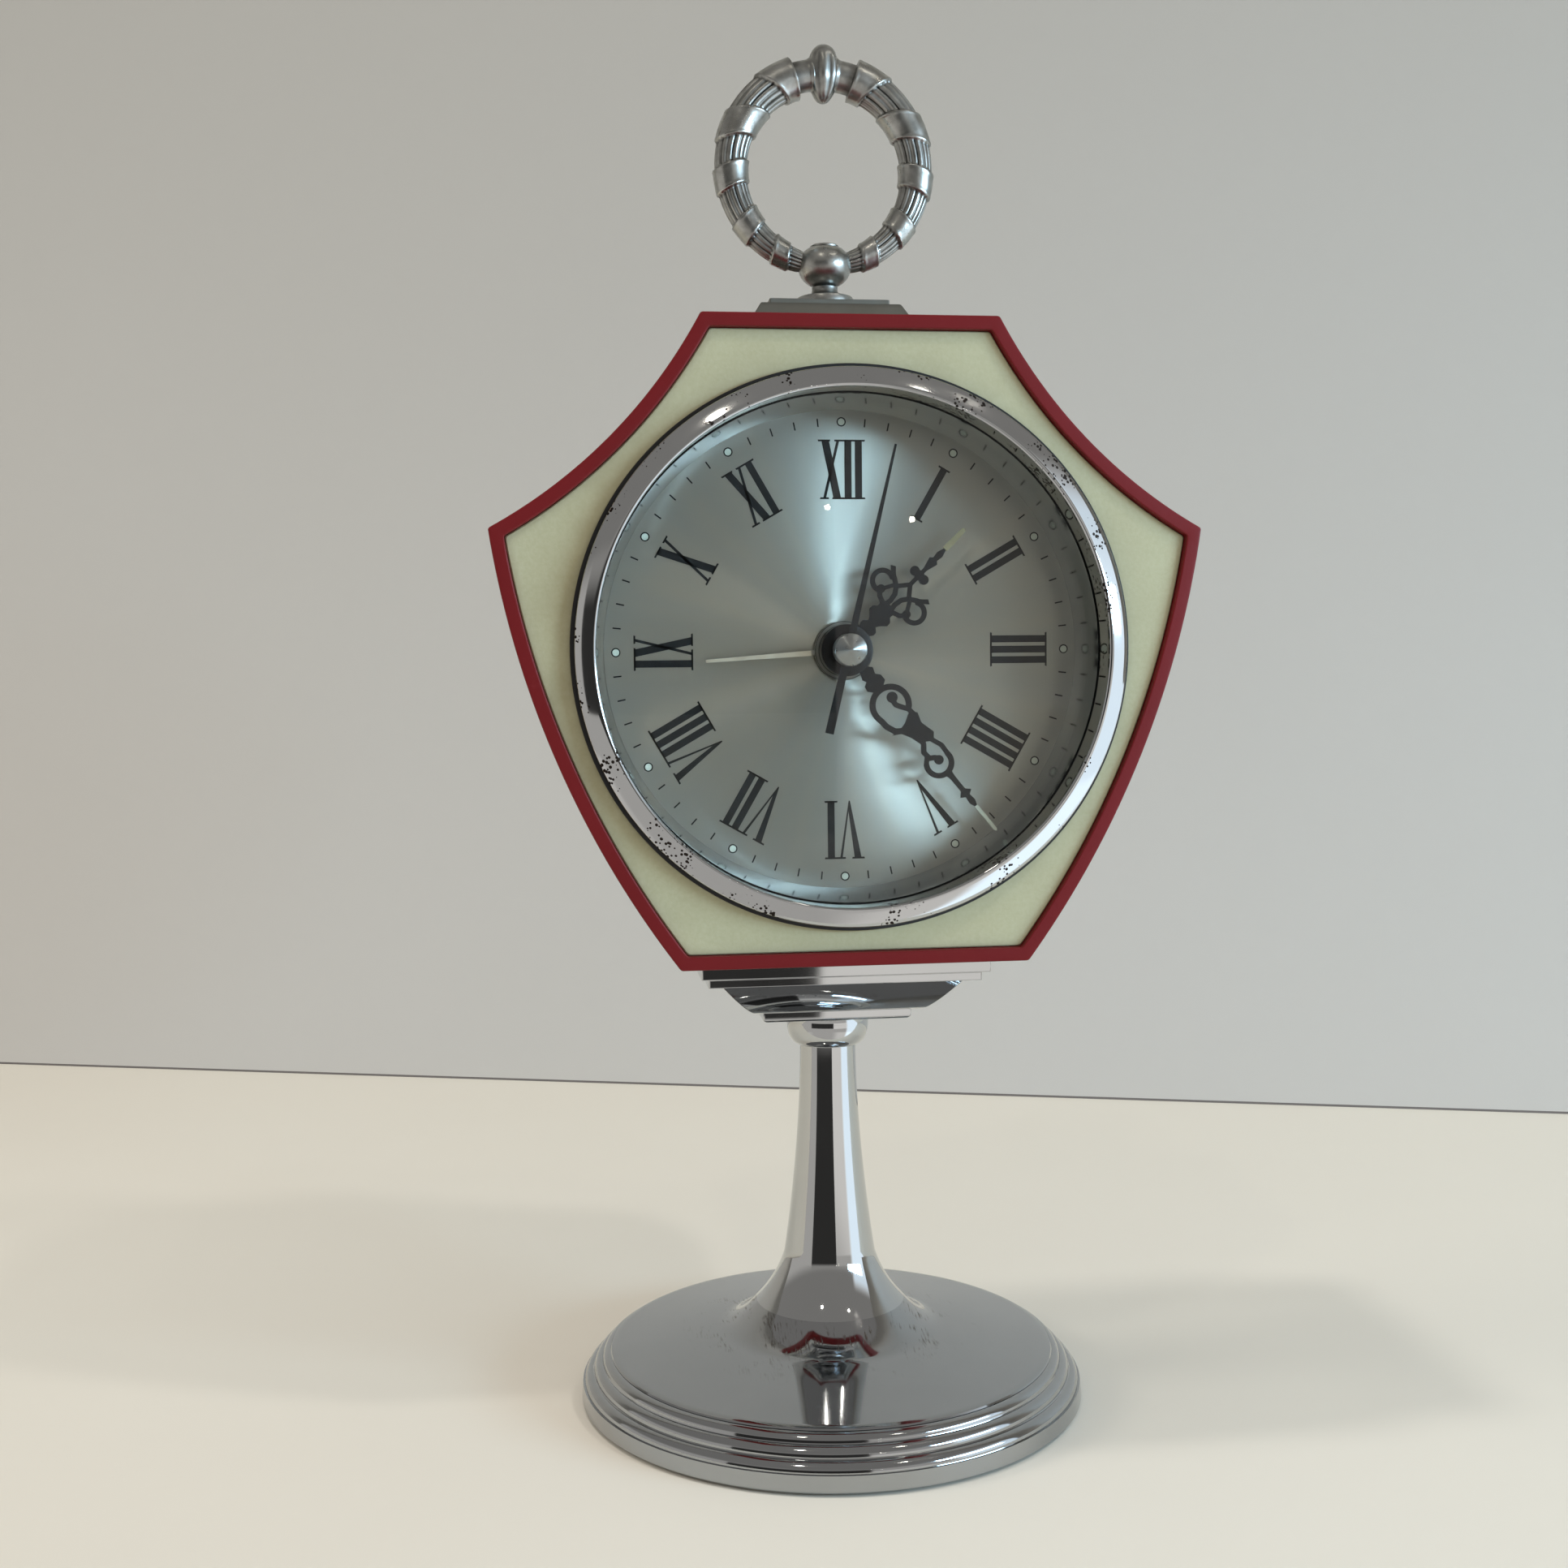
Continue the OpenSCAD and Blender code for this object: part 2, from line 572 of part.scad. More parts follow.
module alarm_hand() color("#cfc9b4") hand(alarm_at, alarm_y) difference() {
    union() {
        circle(r = 5.9, $fn = 48);
        polygon([[-0.6, 0], [0.6, 0], [0.3, alarm_len], [-0.3, alarm_len]]);
    }
    circle(r = 2.8, $fn = 40);
}

module hub_cap() color("#c9ccd0") translate([0, second_y, 0]) spin_dial()
    polygon([[0, 3.1], [0.5, 3.1], [0.5, 0], [3.2, 0], [3.2, 3], [0.3, 4], [0, 4]]);

// ---------- movement ----------
module plate(y0, holes) color("#c2a45a") flat([0, 0], y0, y0 + plate_t) difference() {
    translate([-37, -31]) square([74, 62]);
    for (p = pillar_at) translate(p) circle(r = 1.2, $fn = 24);
    for (h = holes) translate(h[0]) circle(r = h[1] + run, $fn = 40);
}
module front_plate() {
    plate(front_y, concat(arbor_holes, [[[0, 0], 1.2], [TB, 1.6], [AB, 1.6]]));
    color("#c2a45a") rod(MW, 0.8, front_y - 3, front_y + 0.1, 32);
}
module back_plate() {
    plate(rear_y, concat(arbor_holes, [[[0, 0], 0.5], [TB, 2.2], [AB, 2.2]]));
    // studs for the two clicks and the regulator's collar
    color("#c2a45a") {
        rod([TB[0] + 8.4, TB[1] + 3], 0.7, rear_y + 0.5, rear_y + plate_t + 1.6, 28);
        rod([AB[0] - 8.4, AB[1] + 3], 0.7, rear_y + 0.5, rear_y + plate_t + 1.6, 28);
        ring(BW, 1.54, 0.7, rear_y + plate_t, rear_y + plate_t + 1, 32);
    }
}

module movement_pillars() color("#b59a55") for (p = pillar_at) {
    rod(p, 2.2, pan_y + pan_t, front_y, 32);
    rod(p, 1.2, pan_y, rear_y + plate_t + 2.2, 24);
    rod(p, 2.2, front_y + plate_t, rear_y, 32);
}
module pillar_nuts() color("#8d9094") for (p = pillar_at) difference() {
    rod(p, 2.6, rear_y + plate_t, rear_y + plate_t + 1.6, 6);
    rod(p, 1.2 + run, rear_y, cover_y, 24);
}

module minute_pipe() color("#b59a55") {
    difference() {
        union() {
            rod([0, 0], 1.2, minute_y - 0.8, front_y + 9.9);
            flat([0, 0], front_y - 1.8, front_y - 1) toothed(cannon_r, 8, 0.5);
            flat([0, 0], front_y + 7.8, front_y + 9.4) toothed(cen_pin, 8, 0.5);
        }
        rod([0, 0], 0.5 + run, cry_b, rear_y, 32);
    }
    wheel([0, 0], cen_r, 56, 1.2, front_y + 4.9, front_y + 5.7);
}

module hour_wheel() color("#b59a55") {
    ring([0, 0], 2, 1.2 + run, hour_y - 0.4, front_y - 2.2);
    wheel([0, 0], hour_r, 32, 2, front_y - 2.9, front_y - 2.2, 0);
}

module motion_wheel() color("#b59a55") difference() {
    union() {
        flat(MW, front_y - 2.85, front_y - 1.8) toothed(mw_pin, 8, 0.5);
        flat(MW, front_y - 1.85, front_y - 1) toothed(mw_r, 24);
    }
    rod(MW, 0.8 + run, pan_y, front_y, 32);
}

module alarm_wheel() color("#b59a55") {
    ring([0, 0], 2.8, 2 + run, alarm_y - 0.1, front_y - 3.2);
    wheel([0, 0], al_r, 50, 2.8, front_y - 3.9, front_y - 3.2, 6);
}

module second_arbor() color("#8d9094") {
    rod([0, 0], 0.5, second_y - 3.1, rear_y + plate_t, 32);
    flat([0, 0], front_y + 10.9, front_y + 12.1) toothed(sec_pin, 8, 0.4);
    wheel([0, 0], sec_r, 56, 0.4, rear_y - 4.5, rear_y - 3.8);
}

module third_wheel() color("#b59a55") {
    rod(T3, 0.6, front_y, rear_y + plate_t, 32);
    flat(T3, front_y + 4.5, front_y + 6.1) toothed(third_pin, 7, 0.4);
    wheel(T3, third_r, 60, 0.5, front_y + 11.1, front_y + 11.9);
}

module escape_wheel() color("#b59a55") {
    rod(ES, 0.5, front_y, rear_y + plate_t, 32);
    flat(ES, rear_y - 4.8, rear_y - 3.5) toothed(esc_pin, 7, 0.35);
    flat(ES, rear_y - 2.7, rear_y - 2.1) difference() {
        union() {
            circle(r = esc_r - 1.6, $fn = 48);
            for (i = [0:14]) rotate(24 * i)
                polygon([[esc_r - 1.9, -0.5], [esc_r, 0.5], [esc_r - 0.1, 0.75], [esc_r - 1.9, 0.9]]);
        }
        for (i = [0:3]) rotate(90 * i) translate([3.1, 0]) circle(r = 1.3, $fn = 28);
    }
}

module pallet_fork() color("#8d9094") {
    rod(PF, 0.5, front_y, rear_y + plate_t, 32);
    flat(PF, rear_y - 2.7, rear_y - 2) {
        polygon([[-1.2, -0.9], [5.6, -0.35], [5.6, 0.35], [-1.2, 0.9]]);
        rotate(217)
            polygon([[0, -4], [1.2, -5.4], [1.9, -5.2], [1.3, 0], [1.9, 5.2], [1.2, 5.4], [0, 4], [-0.6, 0]]);
    }
}

module balance_wheel() color("#b59a55") {
    rod(BW, 0.5, front_y, rear_y + plate_t, 32);
    flat(BW, rear_y - 7.2, rear_y - 5.6) {
        difference() {
            circle(r = 8.2, $fn = 64);
            circle(r = 6.9, $fn = 64);
        }
        translate([-7.4, -0.6]) square([14.8, 1.2]);
        circle(r = 1.8, $fn = 32);
    }
    rod(BW, 2, rear_y - 2.7, rear_y - 2.2, 32);
}

module hairspring() color("#6d7480") flat(BW, rear_y - 4.7, rear_y - 4.2) {
    spiral(1.7, 0.9, 5, 0.25);
    difference() {
        circle(r = 1.75, $fn = 32);
        circle(r = 0.5, $fn = 32);
    }
}

module barrel(at, r, gr, n, y0, y1) color("#b59a55") {
    difference() {
        rod(at, r, y0, y1, 64);
        rod(at, r - 0.8, y0 + 0.8, y1 - 0.8, 64);
        rod(at, 2.2 + run, y0 - 1, y1 + 1, 40);
    }
    wheel(at, gr, n, r - 1.2, y0 - 0.7, y0, 0);
    ring(at, r - 1, 2.2 + run, y0 - 0.7, y0, 48);
}
module mainspring(at, r, y0, y1) color("#6d7480")
    flat(at, y0 + 1.2, y1 - 1.2) spiral(3.1, (r - 4.4) / 7, 7, 0.4);
// winding arbor, with its ratchet's teeth turned for a click on side s
module winding(at, s) color("#8d9094") {
    rod(at, 1.6, front_y, front_y + plate_t + 0.2, 32);
    rod(at, 2.2, front_y + plate_t + 0.1, cover_y + cover_t + 2.6, 40);
    flat(at, rear_y + plate_t + 0.3, rear_y + plate_t + 1.3) mirror([s < 0 ? 1 : 0, 0]) {
        circle(r = 4.2, $fn = 40);
        for (i = [0:13]) rotate(360 / 14 * i) polygon([[3.9, -0.8], [5.2, 0.7], [3.9, 0.9]]);
    }
}
module key(at) color("#a9acb0") {
    y0 = cover_y + cover_t + 0.6;
    ring(at, 3.4, 2.2, y0, y0 + 2, 40);
    rod(at, 3.4, y0 + 2, y0 + 5, 40);
    for (s = [-1, 1]) flat([at[0] + s * (key_span - 4), at[1]], y0 + 3.2, y0 + 4.8) difference() {
        circle(r = 4, $fn = 40);
        translate([s * 0.4, 0]) circle(r = 1.8, $fn = 32);
    }
}
module click(at, s) color("#8d9094") {
    y0 = rear_y + plate_t + 0.3;
    difference() {
        union() {
            rod([at[0] + s * 8.4, at[1] + 3], 1.7, y0, y0 + 1, 32);
            flat([at[0] + s * 8.4, at[1] + 3], y0, y0 + 1) mirror([s < 0 ? 1 : 0, 0])
                polygon([[-1.5, 0.4], [1.4, -0.6], [-2.1, -4.7], [-3.2, -4.3]]);
        }
        rod([at[0] + s * 8.4, at[1] + 3], 0.7 + run, y0 - 1, y0 + 2, 28);
    }
}

module time_barrel() barrel(TB, drum_r, great_r, 56, drum_y0, drum_y1);
module time_mainspring() mainspring(TB, drum_r, drum_y0, drum_y1);
module time_winding_arbor() winding(TB, 1);
module time_key() key(TB);
module time_click() click(TB, 1);
module alarm_barrel() barrel(AB, adrum_r, ag_r, 42, drum_y0, drum_y1);
module alarm_mainspring() mainspring(AB, adrum_r, drum_y0, drum_y1);
module alarm_winding_arbor() winding(AB, -1);
module alarm_key() key(AB);
module alarm_click() click(AB, -1);

module alarm_verge_wheel() color("#b59a55") {
    rod(AE, 0.6, front_y, rear_y + plate_t, 32);
    flat(AE, drum_y0 - 1.5, drum_y0 + 0.4) toothed(ae_pin, 7, 0.4);
    wheel(AE, ae_r, 18, 0.5, rear_y - 3.6, rear_y - 3, 0);
}

module alarm_hammer() color("#8d9094") {
    rod(HM, 0.8, front_y, cover_y - 2.5, 32);
    flat(HM, rear_y - 3.6, rear_y - 3)
        polygon([[-1, 0.8], [-3, -1.6], [-2.6, -2.2], [0, -0.9], [2.6, -2.2], [3, -1.6], [1, 0.8]]);
    flat(HM, cover_y - 5.8, cover_y - 4.8) {
        polygon([[-0.8, -0.8], [0.8, -0.8], [0.6, 15], [-0.6, 15]]);
        circle(r = 1.8, $fn = 32);
    }
    rod([HM[0], HM[1] + 16], 2.6, cover_y - 7.2, cover_y - 2.8, 32);
}

module set_knob(at, pin, y0, y1, n) color("#c9ccd0") {
    rod(at, 0.9, y0, cover_y + cover_t + 2, 32);
    flat(at, y0, y1) toothed(pin, n, 0.45);
    flat(at, cover_y + cover_t + 0.8, cover_y + cover_t + 6.3) union() {
        circle(r = knob_r - 0.35, $fn = 40);
        for (i = [0:17]) rotate(20 * i) translate([knob_r - 0.5, 0]) circle(r = 0.5, $fn = 16);
    }
}
module hand_set_knob() set_knob(ST, set_pin, front_y - 1.8, front_y - 1, 6);
module alarm_set_knob() set_knob(AS, al_pin, front_y - 3.9, front_y - 3.2, 10);

module alarm_stop() color("#7a1f24") {
    rod(SP, 1.4, rear_y + plate_t + 3, cover_y + 1, 32);
    rod(SP, 1.4, cover_y, cover_y + cover_t + stop_travel + 2, 32);
    rod(SP, 3, cover_y + cover_t + 1.2, cover_y + cover_t + 4.8, 40);
    rod(SP, 2.2, rear_y + plate_t + 2.6, rear_y + plate_t + 3.6, 32);
}

module regulator() color("#8d9094") {
    y0 = rear_y + plate_t;
    flat(BW, y0 + 0.1, y0 + 0.9) difference() {
        union() { circle(r = 3, $fn = 40); translate([-0.8, 0]) square([1.6, 12.8]); }
        circle(r = 1.54 + run, $fn = 32);
    }
    flat(BW, y0 + 0.1, cover_y + cover_t + 1.6) translate([-0.8, 11.6]) square([1.6, 1.2]);
}

// ---------- back ----------
module back_cover() color("#b9bcc0") {
    difference() {
        union() {
            rod([0, 0], back_r, cover_y, cover_y + cover_t, fine);
            ring([0, 0], back_r, back_r - 0.8, cover_y, case_y1 + 0.8, fine);
            ring([0, 0], back_r + 5.4, back_r - 0.8, case_y1, case_y1 + 0.8, fine);
        }
        for (p = [TB, AB]) rod(p, 2.2 + 0.4, cover_y - 1, cover_y + 2);
        for (p = [ST, AS]) rod(p, 0.9 + 0.4, cover_y - 1, cover_y + 2);
        rod(SP, 1.4 + run, cover_y - 1, cover_y + 2);
        flat(BW, cover_y - 1, cover_y + 2) intersection() {
            difference() {
                circle(r = 13.3, $fn = 64);
                circle(r = 11.1, $fn = 64);
            }
            polygon([[0, 0], [-7.2, 16], [7.2, 16]]);
        }
        for (p = cover_screw_at) rod(p, 1.2 + run, case_y1 - 1, case_y1 + 2, 24);
    }
    // lug struck by the hammer
    translate([HM[0] + 5.2, cover_y - 5.5, dial_z + HM[1] + 13]) cube([1.2, 5.6, 6]);
}
module cover_screws() color("#8d9094") for (p = cover_screw_at) {
    rod(p, 1.2, case_y1 - 3, case_y1 + 0.8, 24);
    rod(p, 2.1, case_y1 + 0.8, case_y1 + 2, 28);
}

// ---------- top ----------
// one side of the top plinth: low plate of half width w, cove, then the upper plate of half width top
function cap_side(w, top) = concat([[w, case_z1], [w, case_z1 + 1.4]],
    [for (i = [1:4]) [w - 0.6 - (w - top - 3) * pow(i / 4, 0.7), case_z1 + 1.4 + (cap_h - 3.3) * i / 4]],
    [[top + 2, cap_z - 1.3], [top, cap_z - 1], [top, cap_z]]);

module top_plinth() color("#8a8c88") difference() {
    stepped(cap_side(cap_w + 7.2, cap_w), cap_side(13, 6.8), ring_y);
    translate([0, ring_y, 0]) pillar(stud_r + run, case_z1 - 1, cap_z + 1, 32);
}

module finial() color("#86867f") translate([0, ring_y, 0]) difference() {
    union() {
        rotate_extrude($fn = 64) polygon(concat(
            [[0, case_z1 - wall], [stud_r, case_z1 - wall], [stud_r, cap_z], [5.4, cap_z], [5.4, cap_z + 1.6],
             [4.2, cap_z + 2.4], [3.4, cap_z + 2.8], [2.8, cap_z + 3.4]],
            [for (i = [1:11]) let (a = -60 + 11.6 * i) [ball_r * cos(a), ball_z + 3.8 * sin(a)]],
            [[2.4, ball_z + 3.6], [2.8, ball_z + 3.9], [2.8, ball_z + 4.2], [1.6, ball_z + 4.7],
             [0, ball_z + 4.8]]));
        // stud and nut inside the case
        pillar(stud_r, case_z1 - wall - 4, case_z1 - wall, 32);
        pillar(stud_r * 2, case_z1 - wall - 2.6, case_z1 - wall, 6);
    }
    translate([0, 0, ring_z]) rotate([90, 0, 0]) rotate_extrude($fn = fine)
        translate([ring_r, 0]) circle(r = ring_low + 0.03, $fn = 32);
}

function tube(a) = ring_low + 0.1 + (ring_top - ring_low - 0.1) * pow(1 - min(a, 165) / 165, 0.62);
module arc_tube(a0, a1, r) rotate([90, 0, 0]) rotate([0, 0, 90 - a1])
    rotate_extrude(angle = a1 - a0, $fn = fine) translate([ring_r, 0]) circle(r = r, $fn = 32);
module ring_seg(a0, a1, r) for (m = [0, 1]) mirror([m, 0, 0]) arc_tube(a0, a1, r);
module wreath_ring() color("#86867f") translate([0, ring_y, ring_z]) {
    // ribbon wraps
    for (w = [[13, 33], [57, 72], [87, 102.5], [115.5, 132.5], [141, 151]])
        ring_seg(w[0], w[1], tube((w[0] + w[1]) / 2) + 0.25);
    // reeded lengths, let into the wraps at each end
    for (w = [[32, 58], [71, 88], [101.5, 116.5], [131.5, 142]])
        ring_seg(w[0], w[1], tube((w[0] + w[1]) / 2) - 0.15);
    // lowest length, through the ball
    arc_tube(150, 210, ring_low);
    // waist beside the bead
    arc_tube(-14, 14, 3);
    translate([0, 0, ring_r + 0.1]) rotate_extrude($fn = 48)
        polygon([for (i = [0:14]) let (a = -90 + 180 * i / 14) [i % 14 == 0 ? 0 : 2.6 * cos(a), 5.9 * sin(a)]]);
}

felt_pad();
base_weight();
base_shell();
stem();
stem_collar();
tie_rod();
tie_rod_nuts();
tie_rod_washers();
plinth_foot();
lower_plinth();
plinth_screws();
case_shell();
face_panel();
bezel_gasket();
bezel();
crystal();
rehaut();
dial();
dial_pan();
pan_screws();
hour_hand();
minute_hand();
second_hand();
alarm_hand();
hub_cap();
front_plate();
back_plate();
movement_pillars();
pillar_nuts();
minute_pipe();
hour_wheel();
motion_wheel();
alarm_wheel();
second_arbor();
third_wheel();
escape_wheel();
pallet_fork();
balance_wheel();
hairspring();
time_barrel();
time_mainspring();
time_winding_arbor();
time_key();
time_click();
alarm_barrel();
alarm_mainspring();
alarm_winding_arbor();
alarm_key();
alarm_click();
alarm_verge_wheel();
alarm_hammer();
hand_set_knob();
alarm_set_knob();
alarm_stop();
regulator();
back_cover();
cover_screws();
top_plinth();
finial();
wreath_ring();
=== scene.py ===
from math import atan2, cos, degrees, exp, pi, radians, sin, sqrt, tau

import bmesh
import bpy
from mathutils import Matrix, Vector


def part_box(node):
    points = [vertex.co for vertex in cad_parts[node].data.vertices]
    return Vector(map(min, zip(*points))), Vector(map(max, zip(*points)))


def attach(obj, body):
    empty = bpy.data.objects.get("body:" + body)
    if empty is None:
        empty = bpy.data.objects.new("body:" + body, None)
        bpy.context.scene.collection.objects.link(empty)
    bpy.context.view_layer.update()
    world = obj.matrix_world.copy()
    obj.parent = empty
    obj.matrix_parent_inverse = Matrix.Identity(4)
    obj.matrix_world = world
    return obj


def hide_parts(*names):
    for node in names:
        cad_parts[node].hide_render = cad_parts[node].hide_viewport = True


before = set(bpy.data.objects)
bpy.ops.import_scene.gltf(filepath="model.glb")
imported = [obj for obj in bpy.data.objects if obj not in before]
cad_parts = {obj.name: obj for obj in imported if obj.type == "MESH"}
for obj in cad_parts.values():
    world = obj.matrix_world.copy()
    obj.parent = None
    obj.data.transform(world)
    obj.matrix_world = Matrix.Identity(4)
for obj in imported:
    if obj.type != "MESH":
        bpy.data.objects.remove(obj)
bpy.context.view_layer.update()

# The script works in millimetres and hands metres to Blender.
MM = 0.001


def span(node):
    """Lowest and highest corner of a CAD node, in millimetres."""
    low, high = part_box(node)
    return low / MM, high / MM


# ----- places taken from the frame -----
CASE_LOW, CASE_HIGH = span("case_shell")
BEZEL_LOW, BEZEL_HIGH = span("bezel")
DIAL_LOW, DIAL_HIGH = span("dial")
CRYSTAL_LOW, CRYSTAL_HIGH = span("crystal")
PANEL_LOW = span("face_panel")[0]
BASE_LOW, BASE_HIGH = span("base_shell")
STEM_LOW, STEM_HIGH = span("stem")
COLLAR_LOW, COLLAR_HIGH = span("stem_collar")
FOOT_LOW, FOOT_HIGH = span("plinth_foot")
PLINTH_LOW, PLINTH_HIGH = span("lower_plinth")
CAP_LOW, CAP_HIGH = span("top_plinth")
RING_LOW, RING_HIGH = span("wreath_ring")
GASKET_LOW, GASKET_HIGH = span("bezel_gasket")
HUB_LOW, HUB_HIGH = span("hub_cap")

DIAL_Z = (BEZEL_LOW.z + BEZEL_HIGH.z) / 2
DIAL_Y = DIAL_LOW.y
BEZEL_R = (BEZEL_HIGH.x - BEZEL_LOW.x) / 2
BASE_R = (BASE_HIGH.x - BASE_LOW.x) / 2
RING_Y = (RING_LOW.y + RING_HIGH.y) / 2
# wreath's middle line, and how far the lobed bead stands over it
RING_R, BEAD_RISE = 19.4, 6.0
RING_Z = RING_HIGH.z - BEAD_RISE - RING_R

# ----- sizes that meeting pieces share -----
BORE_R = 3.2
# degrees up the trumpet's curve where base and stem meet
SEAM_ANGLE = 45.9
DISC_EDGE_Z = 10.8
PANEL_BACK_Y = -35.6
# opening for the works, in panel and gasket
HOLE_R = 52.6
# plane of the crystal's flat rim in the bezel
SEAT_Y = -36.7
DIAL_R = 50.4


# ----- mesh tools -----
def new_object(name, data):
    """Object with this data, put in the scene."""
    obj = bpy.data.objects.new(name, data)
    bpy.context.scene.collection.objects.link(obj)
    return obj


def piece(name, verts, faces, material, slot, body="body", replaces=(), crease=35, marks=None, flat=False):
    """Mesh object from points in millimetres, riding on a body; marks say how dark each point is: patina in
    hollows, and on the panel grime with painted shade.
    """
    mesh = bpy.data.meshes.new(name)
    mesh.from_pydata([tuple(c * MM for c in v) for v in verts], [], faces)
    if marks:
        attribute = mesh.attributes.new("darkening", "FLOAT", "POINT")
        attribute.data.foreach_set("value", marks)
    work = bmesh.new()
    work.from_mesh(mesh)
    bmesh.ops.recalc_face_normals(work, faces=work.faces)
    work.to_mesh(mesh)
    work.free()
    mesh.shade_smooth()
    mesh.set_sharp_from_angle(angle=radians(crease))
    mesh.materials.append(material)
    obj = new_object(name, mesh)
    if flat:
        obj.modifiers.new("flat_faces", "WEIGHTED_NORMAL").keep_sharp = True
    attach(obj, body)
    if replaces:
        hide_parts(*replaces)


def loft(rings, wrap=False):
    """Points and faces of a skin over rings with the same number of points."""
    count = len(rings[0])
    verts = [p for ring in rings for p in ring]
    faces = []
    last = len(rings) if wrap else len(rings) - 1
    for i in range(last):
        a, b = i * count, ((i + 1) % len(rings)) * count
        for j in range(count):
            k = (j + 1) % count
            faces.append((a + j, a + k, b + k, b + j))
    return verts, faces


def capped(rings):
    """Skin over rings with its first and last ring closed by a face."""
    verts, faces = loft(rings)
    count = len(rings[0])
    faces.append(tuple(range(count)))
    faces.append(tuple(range(len(verts) - 1, len(verts) - 1 - count, -1)))
    return verts, faces


def upright(r, angle, h):
    """Point about the stand's upright axis."""
    return (r * cos(angle), r * sin(angle), h)


def over_ring(r, angle, h):
    """Point about the upright axis of the ring and its finial."""
    return (r * cos(angle), r * sin(angle) + RING_Y, h)


def facing(r, angle, y):
    """Point about the dial's axis."""
    return (r * sin(angle), y, DIAL_Z + r * cos(angle))


def circles(profile, place, steps):
    """One ring of points for each (radius, height); on the axis the ring stays just open."""
    least = 0.001
    return [[place(max(r, least), tau * j / steps, h) for j in range(steps)] for r, h in profile]


def lathe(profile, place=upright, steps=192):
    """Closed profile of (radius, height) swept right round an axis."""
    return loft(circles(profile, place, steps), wrap=True)


def rounded(points, radius, closed=True, steps=4, least=22):
    """Same path with each turn of more than `least` degrees made into a short curve."""
    out = []
    n = len(points)
    # share of a side that a curve may take, so that two curves never meet
    share = 0.45
    for i, point in enumerate(points):
        p = Vector(point)
        if not closed and i in (0, n - 1):
            out.append(tuple(p))
            continue
        before, after = Vector(points[i - 1]), Vector(points[(i + 1) % n])
        back, on = before - p, after - p
        if back.length < 1e-6 or on.length < 1e-6 or pi - back.angle(on) < radians(least):
            out.append(tuple(p))
            continue
        a = p + back.normalized() * min(radius, back.length * share)
        b = p + on.normalized() * min(radius, on.length * share)
        for k in range(steps + 1):
            t = k / steps
            out.append(tuple(a * (1 - t) ** 2 + p * 2 * t * (1 - t) + b * t ** 2))
    return out


def curve(centre, r0, r1, start, end, steps):
    """Points on an ellipse's arc, angles in degrees."""
    out = []
    for i in range(steps + 1):
        a = radians(start + (end - start) * i / steps)
        out.append((centre[0] + r0 * cos(a), centre[1] + r1 * sin(a)))
    return out


def smooth(x):
    """Soft step from 0 to 1."""
    x = min(max(x, 0.0), 1.0)
    return x * x * (3 - 2 * x)


# ----- material tools -----
class Nodes:
    """A node tree whose nodes are added one by one and linked as they come."""

    def __init__(self, tree):
        self.tree = tree

    def add(self, kind, inputs=None, **settings):
        node = self.tree.nodes.new(kind)
        for key, value in settings.items():
            setattr(node, key, value)
        for key, value in (inputs or {}).items():
            if isinstance(value, bpy.types.NodeSocket):
                self.tree.links.new(value, node.inputs[key])
            else:
                node.inputs[key].default_value = value
        return node

    def math(self, operation, a, b=0.0):
        return self.add("ShaderNodeMath", {0: a, 1: b}, operation=operation).outputs[0]

    def times(self, first, *others):
        for other in others:
            first = self.math("MULTIPLY", first, other)
        return first

    def plus(self, a, b):
        return self.math("ADD", a, b)

    def mix(self, share, a, b):
        return self.add("ShaderNodeMix", {0: share, 6: a, 7: b}, data_type="RGBA").outputs[2]


